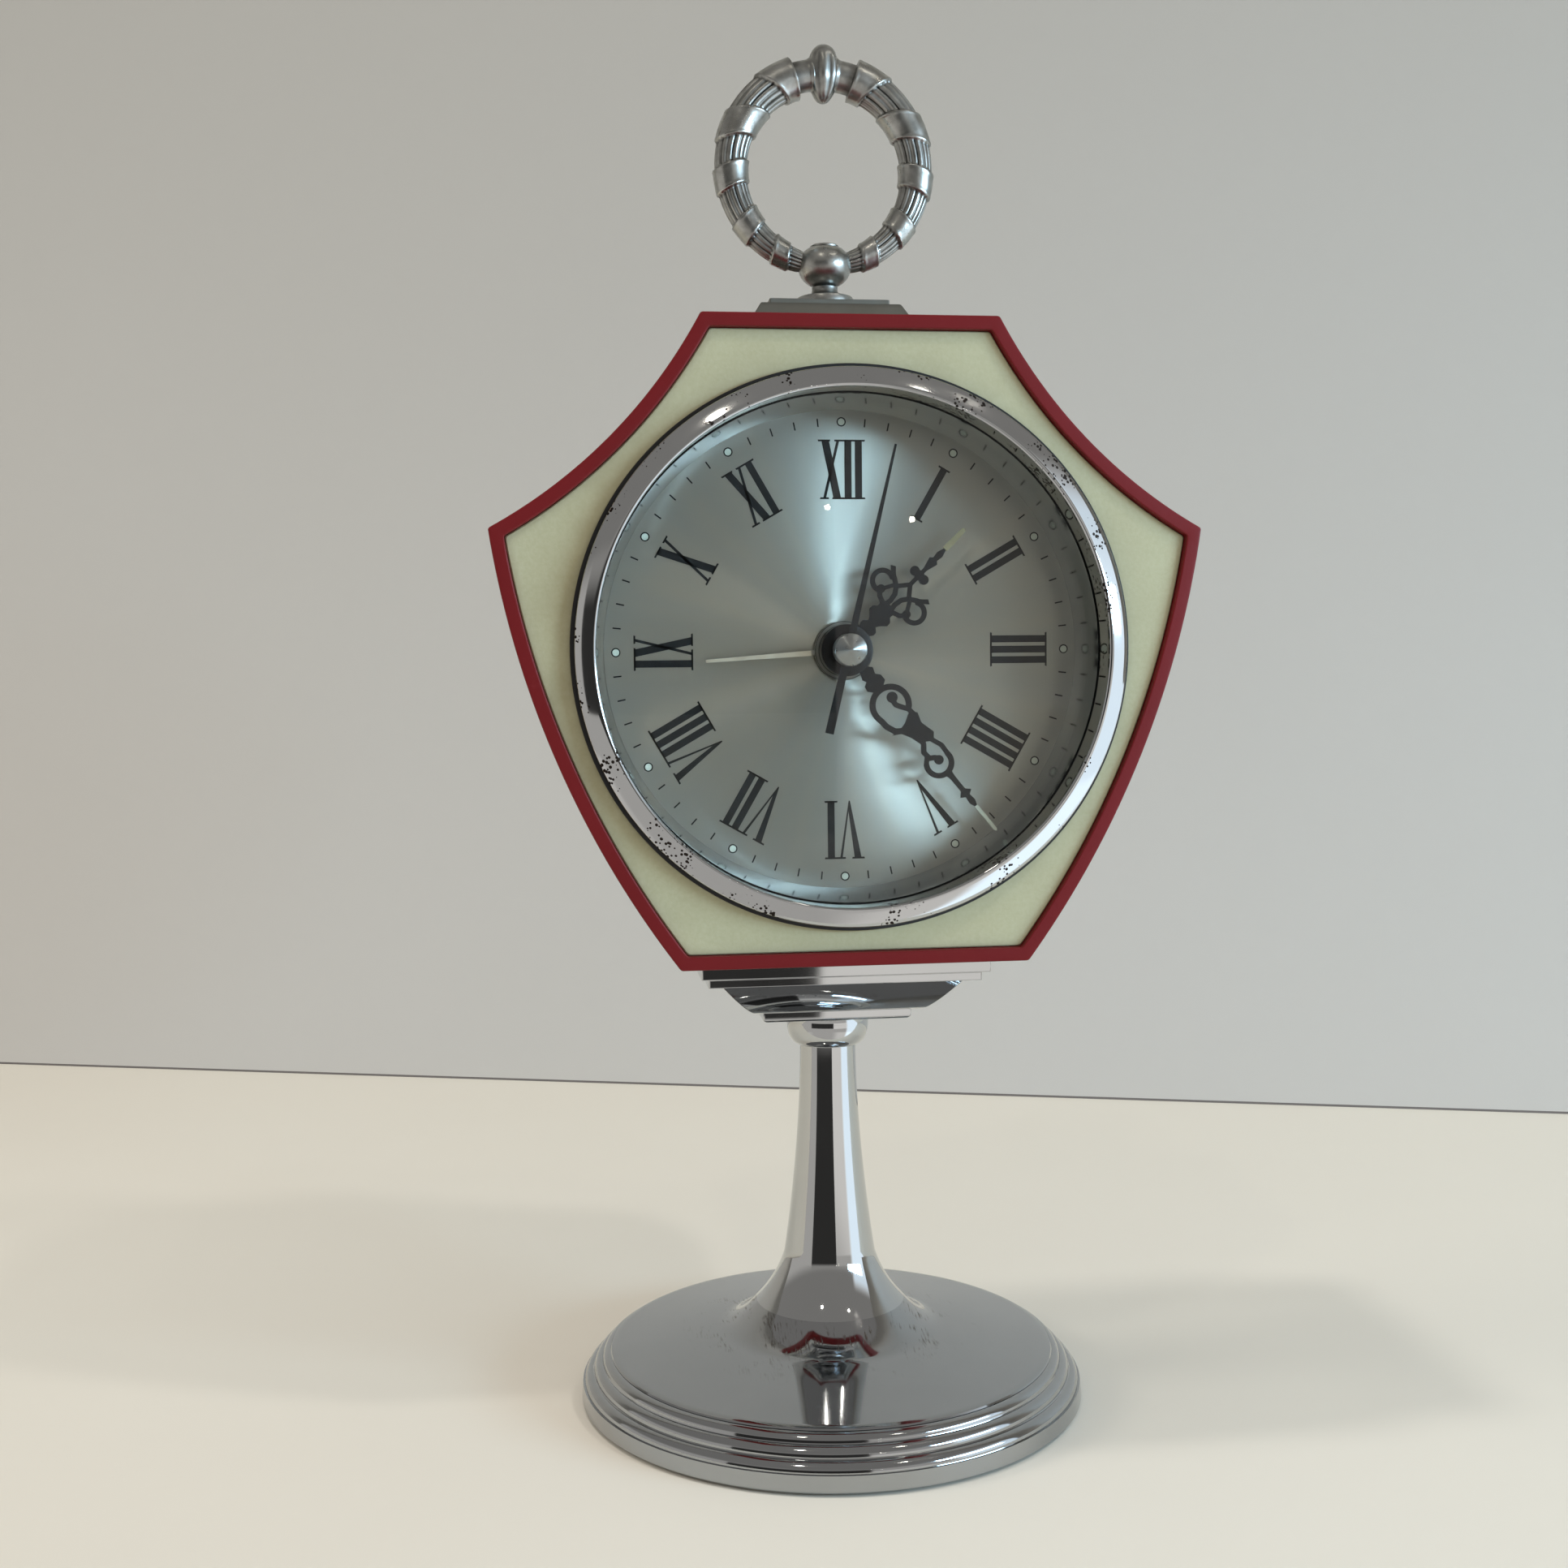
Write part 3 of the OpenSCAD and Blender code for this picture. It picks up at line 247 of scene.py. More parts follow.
class Finish(Nodes):
    """A material's nodes round its Principled shader; places are in metres."""

    def __init__(self, name, **sockets):
        self.mat = bpy.data.materials.new(name)
        self.mat.use_nodes = True
        super().__init__(self.mat.node_tree)
        self.shader = self.tree.nodes["Principled BSDF"]
        self.place = self.add("ShaderNodeTexCoord").outputs["Object"]
        for key, value in sockets.items():
            self.shader.inputs[key.replace("_", " ")].default_value = value

    def noise(self, scale, detail, place=None):
        inputs = {"Vector": place or self.place, "Scale": scale, "Detail": detail, "Roughness": 0.55}
        return self.add("ShaderNodeTexNoise", inputs).outputs["Fac"]

    def cells(self, scale):
        return self.add("ShaderNodeTexVoronoi", {"Vector": self.place, "Scale": scale}).outputs["Distance"]

    def stretched(self, scale, turn=(0, 0, 0)):
        inputs = {"Vector": self.place, "Scale": scale, "Rotation": turn}
        return self.add("ShaderNodeMapping", inputs).outputs["Vector"]

    def from_hub(self):
        """How far right of the dial's axis and how far above it."""
        split = self.add("ShaderNodeSeparateXYZ", {0: self.place})
        return split.outputs["X"], self.math("SUBTRACT", split.outputs["Z"], DIAL_Z * MM)

    def vector(self, x, y=0.0):
        return self.add("ShaderNodeCombineXYZ", {0: x, 1: y}).outputs[0]

    def length(self, vector):
        return self.add("ShaderNodeVectorMath", {0: vector}, operation="LENGTH").outputs["Value"]

    def ramp(self, value, low, high, out_low=0.0, out_high=1.0):
        inputs = {"Value": value, "From Min": low, "From Max": high, "To Min": out_low, "To Max": out_high}
        return self.add("ShaderNodeMapRange", inputs).outputs["Result"]

    def mark(self):
        """Darkening that the piece's own points carry: patina in the pewter's hollows, grime with painted
        shade on the panel.
        """
        return self.add("ShaderNodeAttribute", attribute_name="darkening").outputs["Fac"]

    def bump(self, height, depth, strength):
        inputs = {"Height": height, "Distance": depth * MM, "Strength": strength}
        self.put("Normal", self.add("ShaderNodeBump", inputs).outputs["Normal"])

    def put(self, socket, value):
        self.tree.links.new(value, self.shader.inputs[socket])

    def tone(self, scale, detail, dark, light):
        """Colour that wanders between two near tones."""
        self.put("Base Color", self.mix(self.noise(scale, detail), dark, light))

    def dull(self, scale, detail, low, high, most=0.7):
        """Roughness that wanders from low to high as the noise goes from 0.3 to most."""
        self.put("Roughness", self.ramp(self.noise(scale, detail), 0.3, most, low, high))

    def brush_round_dial(self):
        """Brushing that runs round the dial's axis or out from it."""
        tangent = self.add("ShaderNodeTangent", direction_type="RADIAL", axis="Y")
        self.put("Tangent", tangent.outputs["Tangent"])

    def clear_where(self, share):
        """Makes the surface vanish where share is 1."""
        nothing = self.add("ShaderNodeBsdfTransparent").outputs["BSDF"]
        choice = self.add("ShaderNodeMixShader", {0: share, 1: self.shader.outputs["BSDF"], 2: nothing})
        self.tree.links.new(choice.outputs["Shader"], self.tree.nodes["Material Output"].inputs["Surface"])


def rgb(r, g, b):
    """Linear colour from display values of 0 to 255."""
    out = []
    for c in (r, g, b):
        c /= 255
        out.append(c / 12.92 if c <= 0.04045 else ((c + 0.055) / 1.055) ** 2.4)
    return (*out, 1.0)


# ----- materials -----
def chrome(name, haze=0.05, pits=0.0, hairlines=0.25):
    """Bright plating with faint haze, hairline scratches and, where asked, pitting."""
    t = Finish(name, Metallic=1.0)
    cloud = t.noise(60, 3)
    fine = t.noise(1, 2, t.stretched((900, 900, 60)))
    colour = t.mix(cloud, rgb(190, 193, 195), rgb(200, 203, 205))
    rough = t.ramp(cloud, 0.3, 0.75, haze * 0.6, haze * 1.5)
    if pits:
        where = t.ramp(t.noise(95, 3), 0.5, 0.62)
        spot = t.math("LESS_THAN", t.cells(1250), t.times(where, pits))
        colour = t.mix(spot, colour, rgb(52, 46, 42))
        rough = t.plus(rough, t.times(spot, 0.5))
    t.put("Base Color", colour)
    t.put("Roughness", rough)
    t.bump(fine, 0.004, hairlines)
    return t.mat


def disc_chrome():
    """Plating of the base: hazier and scratched near the foot of the stem."""
    t = Finish("base_chrome", Metallic=1.0)
    near = t.ramp(t.length(t.stretched((1, 1, 0))), 0.017, 0.034, 1.0, 0.0)
    streaks = t.ramp(t.noise(1, 3, t.stretched((2300, 260, 400), (0, 0, 0.7))), 0.54, 0.64)
    scratch = t.times(streaks, t.times(t.ramp(t.noise(190, 3), 0.5, 0.62), near))
    colour = t.mix(t.noise(45, 3), rgb(168, 171, 174), rgb(178, 181, 184))
    haze = t.ramp(t.noise(70, 4), 0.3, 0.8, 0.05, 0.11)
    t.put("Base Color", t.mix(scratch, colour, rgb(104, 99, 92)))
    t.put("Roughness", t.plus(haze, t.times(scratch, 0.3)))
    t.bump(t.noise(1, 2, t.stretched((700, 700, 80))), 0.004, 0.3)
    return t.mat


def pewter():
    """Antique cast metal: dark where the piece's own hollows are, rubbed bright on its edges."""
    t = Finish("antique_pewter", Metallic=1.0)
    grime = t.times(t.ramp(t.noise(420, 5), 0.3, 0.8, 0.55, 1.0), t.mark())
    bare = t.mix(t.ramp(t.noise(330, 5), 0.35, 0.65), rgb(154, 155, 151), rgb(190, 192, 189))
    rough = t.ramp(t.noise(260, 4), 0.3, 0.75, 0.24, 0.38)
    t.put("Base Color", t.mix(grime, bare, rgb(38, 36, 33)))
    t.put("Roughness", t.plus(rough, t.times(grime, 0.25)))
    t.bump(t.noise(700, 4), 0.03, 0.6)
    return t.mat


def satin_plate():
    """Flat grey matt casting of the top plinth."""
    t = Finish("satin_plate", Metallic=1.0)
    t.tone(150, 4, rgb(124, 124, 117), rgb(142, 142, 135))
    t.dull(240, 4, 0.42, 0.56, 0.75)
    t.bump(t.noise(900, 4), 0.02, 0.6)
    return t.mat


def red_case():
    """Crimson moulding, nearly matt, with a fine grain and a few rubbed spots."""
    t = Finish("crimson_moulding", Specular_IOR_Level=0.25)
    grain = t.noise(1500, 3)
    shade = t.mix(t.noise(55, 4), rgb(103, 14, 19), rgb(116, 19, 25))
    rub = t.ramp(t.noise(340, 5), 0.68, 0.78, 0.0, 0.3)
    t.put("Base Color", t.mix(rub, shade, rgb(126, 40, 44)))
    t.put("Roughness", t.ramp(grain, 0.25, 0.8, 0.42, 0.6))
    t.bump(grain, 0.03, 0.6)
    return t.mat


def cream_panel():
    """Ivory moulding: soft grain, a brown tinge of grime and painted shade along its edges by the rim and the
    bezel, and, most at the left, painted shadow of the bezel mixed with dust.
    """
    t = Finish("ivory_moulding", Specular_IOR_Level=0.25)
    grain = t.noise(1100, 4)
    tone = t.mix(t.noise(38, 4), rgb(180, 179, 147), rgb(190, 189, 159))
    fleck = t.mix(t.ramp(grain, 0.35, 0.7, 0.0, 0.6), tone, rgb(194, 194, 166))
    # grime with painted shade along the panel's edges by the rim and the bezel
    edge_grime_and_shade = t.times(t.mark(), t.ramp(t.noise(60, 4), 0.3, 0.75, 0.3, 1.0))
    across, up = t.from_hub()
    # painted shadow of the bezel, strongest at its left, mixed with patchy dust
    by_bezel = t.ramp(t.length(t.vector(across, up)), 0.053, 0.068, 0.55, 0.0)
    patches = t.ramp(t.noise(75, 4), 0.35, 0.65, 0.3, 1.0)
    bezel_shadow_and_dust = t.times(by_bezel, patches, t.ramp(across, -0.058, -0.03, 1.0, 0.4))
    # brown mix of painted shade and grime
    tinge_and_shade = t.math("MAXIMUM", t.times(edge_grime_and_shade, 0.65), bezel_shadow_and_dust)
    t.put("Base Color", t.mix(tinge_and_shade, fleck, rgb(128, 112, 76)))
    t.put("Roughness", t.ramp(grain, 0.2, 0.8, 0.55, 0.75))
    t.bump(grain, 0.05, 0.7)
    return t.mat


def rubber():
    """Black gasket, dull and faintly grained."""
    t = Finish("black_gasket", Specular_IOR_Level=0.4)
    t.tone(300, 4, rgb(20, 20, 22), rgb(36, 36, 38))
    t.dull(500, 4, 0.45, 0.65)
    t.bump(t.noise(900, 3), 0.02, 0.5)
    return t.mat


def glass():
    """Clear acrylic that lets the lamps through to the dial."""
    t = Finish("clear_acrylic", Roughness=0.0, IOR=1.32, Transmission_Weight=1.0)
    t.put("Roughness", t.ramp(t.noise(160, 4), 0.4, 0.9, 0.0, 0.012))
    t.tone(90, 2, rgb(246, 248, 248), rgb(252, 253, 253))
    t.bump(t.noise(35, 2), 0.02, 0.2)
    t.clear_where(t.add("ShaderNodeLightPath").outputs["Is Shadow Ray"])
    return t.mat


def slant_metal():
    """Slanted ring: half-bright plating that mirrors the dial's edge."""
    t = Finish("slant_plating", Metallic=1.0)
    t.tone(70, 3, rgb(168, 172, 178), rgb(186, 190, 195))
    t.dull(220, 4, 0.12, 0.2, 0.75)
    t.bump(t.noise(260, 3), 0.01, 0.3)
    return t.mat


def dial_face():
    """Silvered sunburst: hairlines that run out from the hub spread each lamp into a wedge."""
    t = Finish("sunburst_silver", Metallic=0.88, Anisotropic=1.0)
    t.brush_round_dial()
    across, up = t.from_hub()
    angle = t.math("ARCTAN2", across, up)
    lines = t.noise(1, 3, t.vector(t.times(angle, 130.0)))
    broad = t.noise(1, 2, t.vector(t.times(angle, 6.0)))
    tone = t.mix(lines, rgb(164, 165, 156), rgb(178, 179, 170))
    t.put("Base Color", t.mix(t.ramp(broad, 0.3, 0.7, 0.0, 0.35), tone, rgb(188, 183, 164)))
    t.put("Roughness", t.ramp(lines, 0.3, 0.7, 0.43, 0.5))
    t.bump(lines, 0.01, 0.25)
    return t.mat


def ink():
    """Print of the dial, matt black."""
    t = Finish("black_ink", Specular_IOR_Level=0.3)
    t.tone(500, 4, rgb(8, 9, 9), rgb(20, 20, 19))
    t.dull(700, 4, 0.5, 0.7)
    t.bump(t.noise(1600, 3), 0.01, 0.4)
    return t.mat


def lume(name, dark, light):
    """Dried luminous paste, grainy and uneven."""
    t = Finish(name, Specular_IOR_Level=0.2)
    t.tone(900, 5, dark, light)
    t.dull(1200, 4, 0.65, 0.85)
    t.bump(t.noise(1500, 4), 0.05, 0.7)
    return t.mat


def black_paint():
    """Thin paint of the hour and minute hands."""
    t = Finish("black_hand_paint", Specular_IOR_Level=0.25)
    t.tone(600, 4, rgb(9, 10, 11), rgb(22, 22, 23))
    t.dull(800, 4, 0.3, 0.48)
    t.bump(t.noise(1800, 3), 0.008, 0.4)
    return t.mat


def pale_hand():
    """Alarm hand: pale gold blade with a greyed, ringed boss."""
    t = Finish("pale_gold_hand", Metallic=1.0)
    radius = t.length(t.vector(*t.from_hub()))
    boss = t.ramp(radius, 0.0062, 0.0068, 1.0, 0.0)
    waves = t.math("SINE", t.times(radius, 9000.0))
    circles_cut = t.times(t.math("GREATER_THAN", waves, 0.8), boss)
    blade = t.mix(t.ramp(t.noise(210, 5), 0.25, 0.75), rgb(208, 203, 184), rgb(232, 228, 210))
    tone = t.mix(boss, blade, rgb(150, 150, 142))
    t.put("Base Color", t.mix(circles_cut, tone, rgb(84, 84, 80)))
    t.dull(700, 4, 0.3, 0.45, 0.75)
    t.bump(t.noise(2100, 3), 0.01, 0.5)
    return t.mat


def spun_metal():
    """Hub cap: turned cone whose fine circles throw light and dark wedges."""
    t = Finish("spun_cap", Metallic=1.0, Anisotropic=0.85, Anisotropic_Rotation=0.25)
    t.brush_round_dial()
    t.tone(500, 4, rgb(140, 142, 140), rgb(166, 168, 166))
    t.dull(900, 3, 0.26, 0.36)
    t.bump(t.noise(2200, 2), 0.004, 0.4)
    return t.mat


def metal(name, dark, light, rough_low, rough_high, grain=380, depth=0.01):
    """Machined or drawn metal of one colour, with tarnish and grain."""
    t = Finish(name, Metallic=1.0)
    t.put("Base Color", t.mix(t.ramp(t.noise(grain * 0.3, 5), 0.25, 0.75), dark, light))
    t.dull(grain, 4, rough_low, rough_high, 0.75)
    t.bump(t.noise(grain * 3, 3), depth, 0.5)
    return t.mat


def back_steel():
    """Plated pressing of the back, brushed in circles and slightly dull."""
    t = Finish("pressed_steel", Metallic=1.0)
    radius = t.length(t.vector(*t.from_hub()))
    brushed = t.noise(1, 2, t.vector(t.times(radius, 6000.0)))
    t.tone(40, 5, rgb(116, 117, 118), rgb(142, 143, 144))
    t.put("Roughness", t.ramp(brushed, 0.3, 0.7, 0.2, 0.32))
    t.bump(brushed, 0.006, 0.4)
    return t.mat


def felt():
    """Worn green baize under the base."""
    t = Finish("green_felt", Specular_IOR_Level=0.1, Sheen_Weight=0.3)
    t.tone(900, 6, rgb(38, 46, 38), rgb(66, 76, 62))
    t.dull(1300, 4, 0.85, 1.0)
    t.bump(t.noise(2200, 5), 0.15, 1.0)
    return t.mat


CHROME = chrome("stand_chrome")
PLINTH_CHROME = chrome("plinth_chrome", haze=0.03, hairlines=0.05)
BEZEL_CHROME = chrome("bezel_chrome", haze=0.07, pits=0.42)
DISC_CHROME = disc_chrome()
PEWTER = pewter()
SATIN = satin_plate()
RED = red_case()
CREAM = cream_panel()
RUBBER = rubber()
GLASS = glass()
SLANT = slant_metal()
DIAL = dial_face()
INK = ink()
HOUR_LUME = lume("aged_lume", rgb(128, 120, 92), rgb(160, 152, 120))
PALE_LUME = lume("pale_lume", rgb(176, 184, 168), rgb(206, 212, 196))
PAINT = black_paint()
SPUN = spun_metal()
BRASS = metal("movement_brass", rgb(170, 138, 74), rgb(206, 176, 108), 0.22, 0.38)
STEEL = metal("bright_steel", rgb(148, 150, 154), rgb(180, 182, 186), 0.2, 0.34)
NICKEL = metal("nickelled_steel", rgb(186, 184, 178), rgb(216, 214, 208), 0.1, 0.24)
BLUED = metal("spring_steel", rgb(74, 80, 96), rgb(112, 118, 134), 0.22, 0.36)
GOLD = pale_hand()
IRON = metal("cast_iron", rgb(52, 52, 54), rgb(84, 84, 86), 0.55, 0.75, 220, 0.12)
BACK = back_steel()
FELT = felt()

BY_SLOT = {
    "felt": FELT, "iron": IRON, "chrome": CHROME, "steel": STEEL, "red_shell": RED, "cream": CREAM,
    "black_rubber": RUBBER, "acrylic": GLASS, "mirror_ring": SLANT, "dial_silver": DIAL,
    "black_paint": PAINT, "pale_gold": GOLD, "brass": BRASS, "spring_steel": BLUED, "pewter": PEWTER,
}
NICKELLED = ("time_key", "alarm_key", "hand_set_knob", "alarm_set_knob", "cover_screws")


def dress_nodes():
    """Gives every CAD node that stays its own procedural finish."""
    own = {"back_cover": BACK, **dict.fromkeys(NICKELLED, NICKEL)}
    for name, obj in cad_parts.items():
        for slot in obj.material_slots:
            slot.material = own.get(name) or BY_SLOT[slot.material.name.split(".")[0]]
    for name in (*NICKELLED, "alarm_stop", "back_cover"):
        soften(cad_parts[name])


def soften(obj):
    """Breaks the sharp edges of a turned or stamped back piece."""
    obj.modifiers.new("joined", "WELD").merge_threshold = 0.002 * MM
    edge = obj.modifiers.new("broken_edge", "BEVEL")
    edge.width = 0.22 * MM
    edge.segments = 2
    edge.limit_method = "ANGLE"
    edge.angle_limit = radians(40)


# ----- stand -----
# rise of the disc per millimetre inwards, and the radius where it starts to sweep up
DISC_SLOPE, FLARE_START = 0.149, 24.0


def base():
    """Stepped round base: skirt, three beads, flat disc and the start of the trumpet."""
    r, z = BASE_R, BASE_LOW.z
    path = [(r - 2.7, z), (r - 0.35, z)]
    path += [(r, z + 0.4), (r - 0.1, z + 1.9), (r - 0.3, 4.1)]
    for outer, top, height in ((r - 0.7, 6.2, 2.1), (r - 2.7, 8.4, 2.0), (r - 4.6, 10.2, 1.6)):
        path += curve((outer - 1.8, top - height), 1.8, height, 0, 90, 10)
    path += [(r - 6.3, 10.3), (r - 6.5, 10.6), (r - 6.9, DISC_EDGE_Z)]
    foot_r, foot_z = trumpet(SEAM_ANGLE, SEAM_ANGLE, 1)[0]
    edge_r, edge_z = path[-1]
    lift = foot_z - edge_z - DISC_SLOPE * (edge_r - foot_r)
    for i in range(1, 33):
        x = edge_r + (foot_r - edge_r) * i / 32
        rise = DISC_SLOPE * (edge_r - x)
        path.append((x, edge_z + rise + lift * max(0.0, (FLARE_START - x) / (FLARE_START - foot_r)) ** 1.76))
    # bore and the hollow underside
    path += [(BORE_R, STEM_LOW.z), (BORE_R, 8.0), (13, 8.0), (15.5, 12), (30, 10.2)]
    path += [(44.5, 9), (46, 7), (r - 4.8, 4), (r - 2.7, 2.6)]
    shape = lathe(path, steps=256)
    piece("plated_base", *shape, DISC_CHROME, slot="chrome", replaces=["base_shell"], crease=28)


def stem_radius(z):
    """Radius of the shaft, which widens ever faster towards its foot."""
    top_r, spread, power = 6.0, 0.00396, 1.8
    return top_r + spread * max(0.0, STEM_HIGH.z - z) ** power


# curve of the trumpet's foot: its radius, the degrees where the shaft takes over and its centre's height
FLARE_R = 25.8
FLARE_TOP = 73.3
FLARE_Z = DISC_EDGE_Z + 1.31 + FLARE_R


def trumpet(start, end, steps):
    """Foot of the trumpet, from start to end degrees up its curve."""
    top = FLARE_Z - FLARE_R * cos(radians(FLARE_TOP))
    centre = stem_radius(top) + FLARE_R * sin(radians(FLARE_TOP))
    out = []
    for i in range(steps + 1):
        a = radians(start + (end - start) * i / steps)
        out.append((centre - FLARE_R * sin(a), FLARE_Z - FLARE_R * cos(a)))
    return out


def stem():
    """Trumpet's upper part and the shaft, with the rod's bore."""
    foot = trumpet(SEAM_ANGLE, FLARE_TOP, 14)
    top = foot[-1][1]
    heights = [top + (STEM_HIGH.z - top) * i / 30 for i in range(1, 31)]
    shaft = [(stem_radius(z), z) for z in heights]
    path = [(BORE_R, STEM_LOW.z), *foot, *shaft, (BORE_R, STEM_HIGH.z)]
    piece("plated_stem", *lathe(path), CHROME, slot="chrome", replaces=["stem"])


def collar():
    """Bowl-shaped collar with a flat lip."""
    low, high = COLLAR_LOW.z, COLLAR_HIGH.z
    r, inner, belly = COLLAR_HIGH.x, 6.3, 4.6
    path = [(BORE_R, low), (inner, low), *curve((inner, low + belly), r - inner, belly, -84, 13, 18)]
    lip = [(r, high - 1.2), (r - 0.5, high - 0.4), (r - 0.5, high), (BORE_R, high)]
    path += rounded(lip, 0.15, closed=False)
    piece("plated_collar", *lathe(path), CHROME, slot="chrome", replaces=["stem_collar"])


def box_ring(half_w, half_d, z, centre_y):
    """One level of a rectangular block, its four corners softened."""
    corner = 0.35
    flat = [(-half_w, -half_d, z), (half_w, -half_d, z), (half_w, half_d, z), (-half_w, half_d, z)]
    return [(x, y + centre_y, h) for x, y, h in rounded(flat, corner, steps=3)]


def block(name, levels, material, slot, replaces, centre_y=0.0):
    """Stepped block from (half width, half depth, height) levels, its edges softened."""
    edge = 0.18
    soft = rounded(levels, edge, closed=False, steps=3)
    shape = capped([box_ring(w, d, z, centre_y) for w, d, z in soft])
    piece(name, *shape, material, slot=slot, replaces=replaces, crease=24, flat=True)


def lower_plinth():
    """Small foot plate, then a cove that spreads to two plates under the case."""
    w, d = PLINTH_HIGH.x, PLINTH_HIGH.y
    foot, deep = FOOT_HIGH.x, FOOT_HIGH.y
    low, top = PLINTH_LOW.z, PLINTH_HIGH.z
    block("plated_foot", [
        (foot - 0.5, deep - 0.5, FOOT_LOW.z), (foot, deep, FOOT_LOW.z + 0.4),
        (foot, deep, FOOT_HIGH.z - 0.1), (foot - 1, deep - 1, FOOT_HIGH.z),
    ], PLINTH_CHROME, "chrome", ["plinth_foot"])
    levels = [(foot + 1, deep + 1.2, low), (foot + 2, deep + 2.2, low + 0.05)]
    for i in range(1, 19):
        t = (i / 18) ** 0.8
        z = low + 7.1 * i / 18
        levels.append((foot + 2 + (w - foot - 6.4) * t, deep + 2.2 + (d - deep - 6.6) * t, z))
    levels += [
        (w - 3.2, d - 3.2, low + 7.15), (w - 1.5, d - 1.5, low + 7.3), (w - 1.5, d - 1.5, top - 4.1),
        (w, d, top - 3.9), (w, d, top), (w - 1, d - 1, top),
    ]
    block("plated_plinth", levels, PLINTH_CHROME, "chrome", ["lower_plinth"])


# ----- case -----
# circles that the hollow upper sides and the full lower sides follow
UP_R, LOW_R = 101.2, 184.2
UP_CENTRE = (117.7, DIAL_Z + 111.97)
LOW_CENTRE = (-113.2, DIAL_Z + 49.27)


def sweep(centre, r, start, end, steps):
    """Points round a circle, angles in radians."""
    angles = [start + (end - start) * i / steps for i in range(steps + 1)]
    return [(centre[0] + r * cos(a), centre[1] + r * sin(a)) for a in angles]


def outline(t):
    """Six-cornered outline drawn in by t, as (x, z) points going round once."""
    corner = 0.5
    up_r, low_r = UP_R + t, LOW_R - t
    top, bottom = CASE_HIGH.z - t, CASE_LOW.z + t
    top_x = UP_CENTRE[0] - sqrt(up_r ** 2 - (top - UP_CENTRE[1]) ** 2)
    bottom_x = LOW_CENTRE[0] + sqrt(low_r ** 2 - (bottom - LOW_CENTRE[1]) ** 2)
    # side corner: where the two circles cross
    gap = Vector(UP_CENTRE) - Vector(LOW_CENTRE)
    along = (low_r ** 2 - up_r ** 2 + gap.length ** 2) / (2 * gap.length)
    off = sqrt(low_r ** 2 - along ** 2)
    ahead = gap.normalized()
    side = Vector(LOW_CENTRE) + ahead * along + Vector((ahead.y, -ahead.x)) * off
    up_start = atan2(top - UP_CENTRE[1], top_x - UP_CENTRE[0]) % tau
    up_end = atan2(side.y - UP_CENTRE[1], side.x - UP_CENTRE[0]) % tau
    low_start = atan2(side.y - LOW_CENTRE[1], side.x - LOW_CENTRE[0])
    low_end = atan2(bottom - LOW_CENTRE[1], bottom_x - LOW_CENTRE[0])
    right = [(top_x * i / 8, top) for i in range(1, 8)]
    right += sweep(UP_CENTRE, up_r, up_start, up_end, 32)
    right += sweep(LOW_CENTRE, low_r, low_start, low_end, 36)[1:]
    right += [(bottom_x * i / 8, bottom) for i in range(7, 0, -1)]
    left = [(-x, z) for x, z in reversed(right)]
    whole = [(0.0, top), *right, (0.0, bottom), *left]
    return rounded(whole, corner, least=14)


def level(t, y):
    """Outline drawn in by t, at depth y."""
    return [(x, y, z) for x, z in outline(t)]


def circle_like(path, r, y):
    """Circle about the dial axis with one point for each point of a path."""
    out = []
    for x, _, z in path:
        to = Vector((x, z - DIAL_Z)).normalized() * r
        out.append((to.x, y, DIAL_Z + to.y))
    return out


def case():
    """Moulded shell: rim, outer wall, back with its round opening, and the walls inside."""
    front, back = CASE_LOW.y, CASE_HIGH.y
    rim, wall, opening_r = 2.7, 4.0, 42.4
    inside = back - 3.0
    steps = [
        (rim, PANEL_BACK_Y), (rim, front + 0.35), (2.62, front + 0.1), (2.4, front), (0.5, front),
        (0.15, front + 0.12), (0.0, front + 0.45), (0.0, back - 1.0), (0.25, back - 0.35), (0.9, back),
    ]
    rings = [level(t, y) for t, y in steps]
    rings.append(circle_like(rings[-1], opening_r, back))
    rings.append(circle_like(rings[-1], opening_r, inside))
    rings += [level(wall, inside), level(wall, PANEL_BACK_Y)]
    shape = loft(rings, wrap=True)
    piece("crimson_case", *shape, RED, slot="red_shell", replaces=["case_shell"], crease=24, flat=True)


def panel():
    """Ivory panel let into the rim, its mark, partly grime and partly painted shade, rising towards the rim
    and the bezel.
    """
    front, side, count = PANEL_LOW.y, 2.8, 14
    edge = level(3.05, front)
    inner = circle_like(edge, HOLE_R, front)
    rings, marks = [level(side, PANEL_BACK_Y), level(side, front + 0.25)], [0.8, 0.8]
    for i in range(count + 1):
        rings.append([tuple(Vector(a).lerp(Vector(b), i / count)) for a, b in zip(edge, inner)])
        # mark of grime and painted shade, highest where the panel meets the rim and the bezel
        marks.append(max(0.0, 1 - i / 1.6) * 0.5 + max(0.0, (i - count + 2.4) / 2.4) * 0.9)
    rings.append(circle_like(edge, HOLE_R, PANEL_BACK_Y))
    marks.append(1.0)
    shape = loft(rings, wrap=True)
    marks = [m for m, ring in zip(marks, rings) for _ in ring]
    piece("ivory_panel", *shape, CREAM, slot="cream", replaces=["face_panel"], crease=24,
          marks=marks, flat=True)


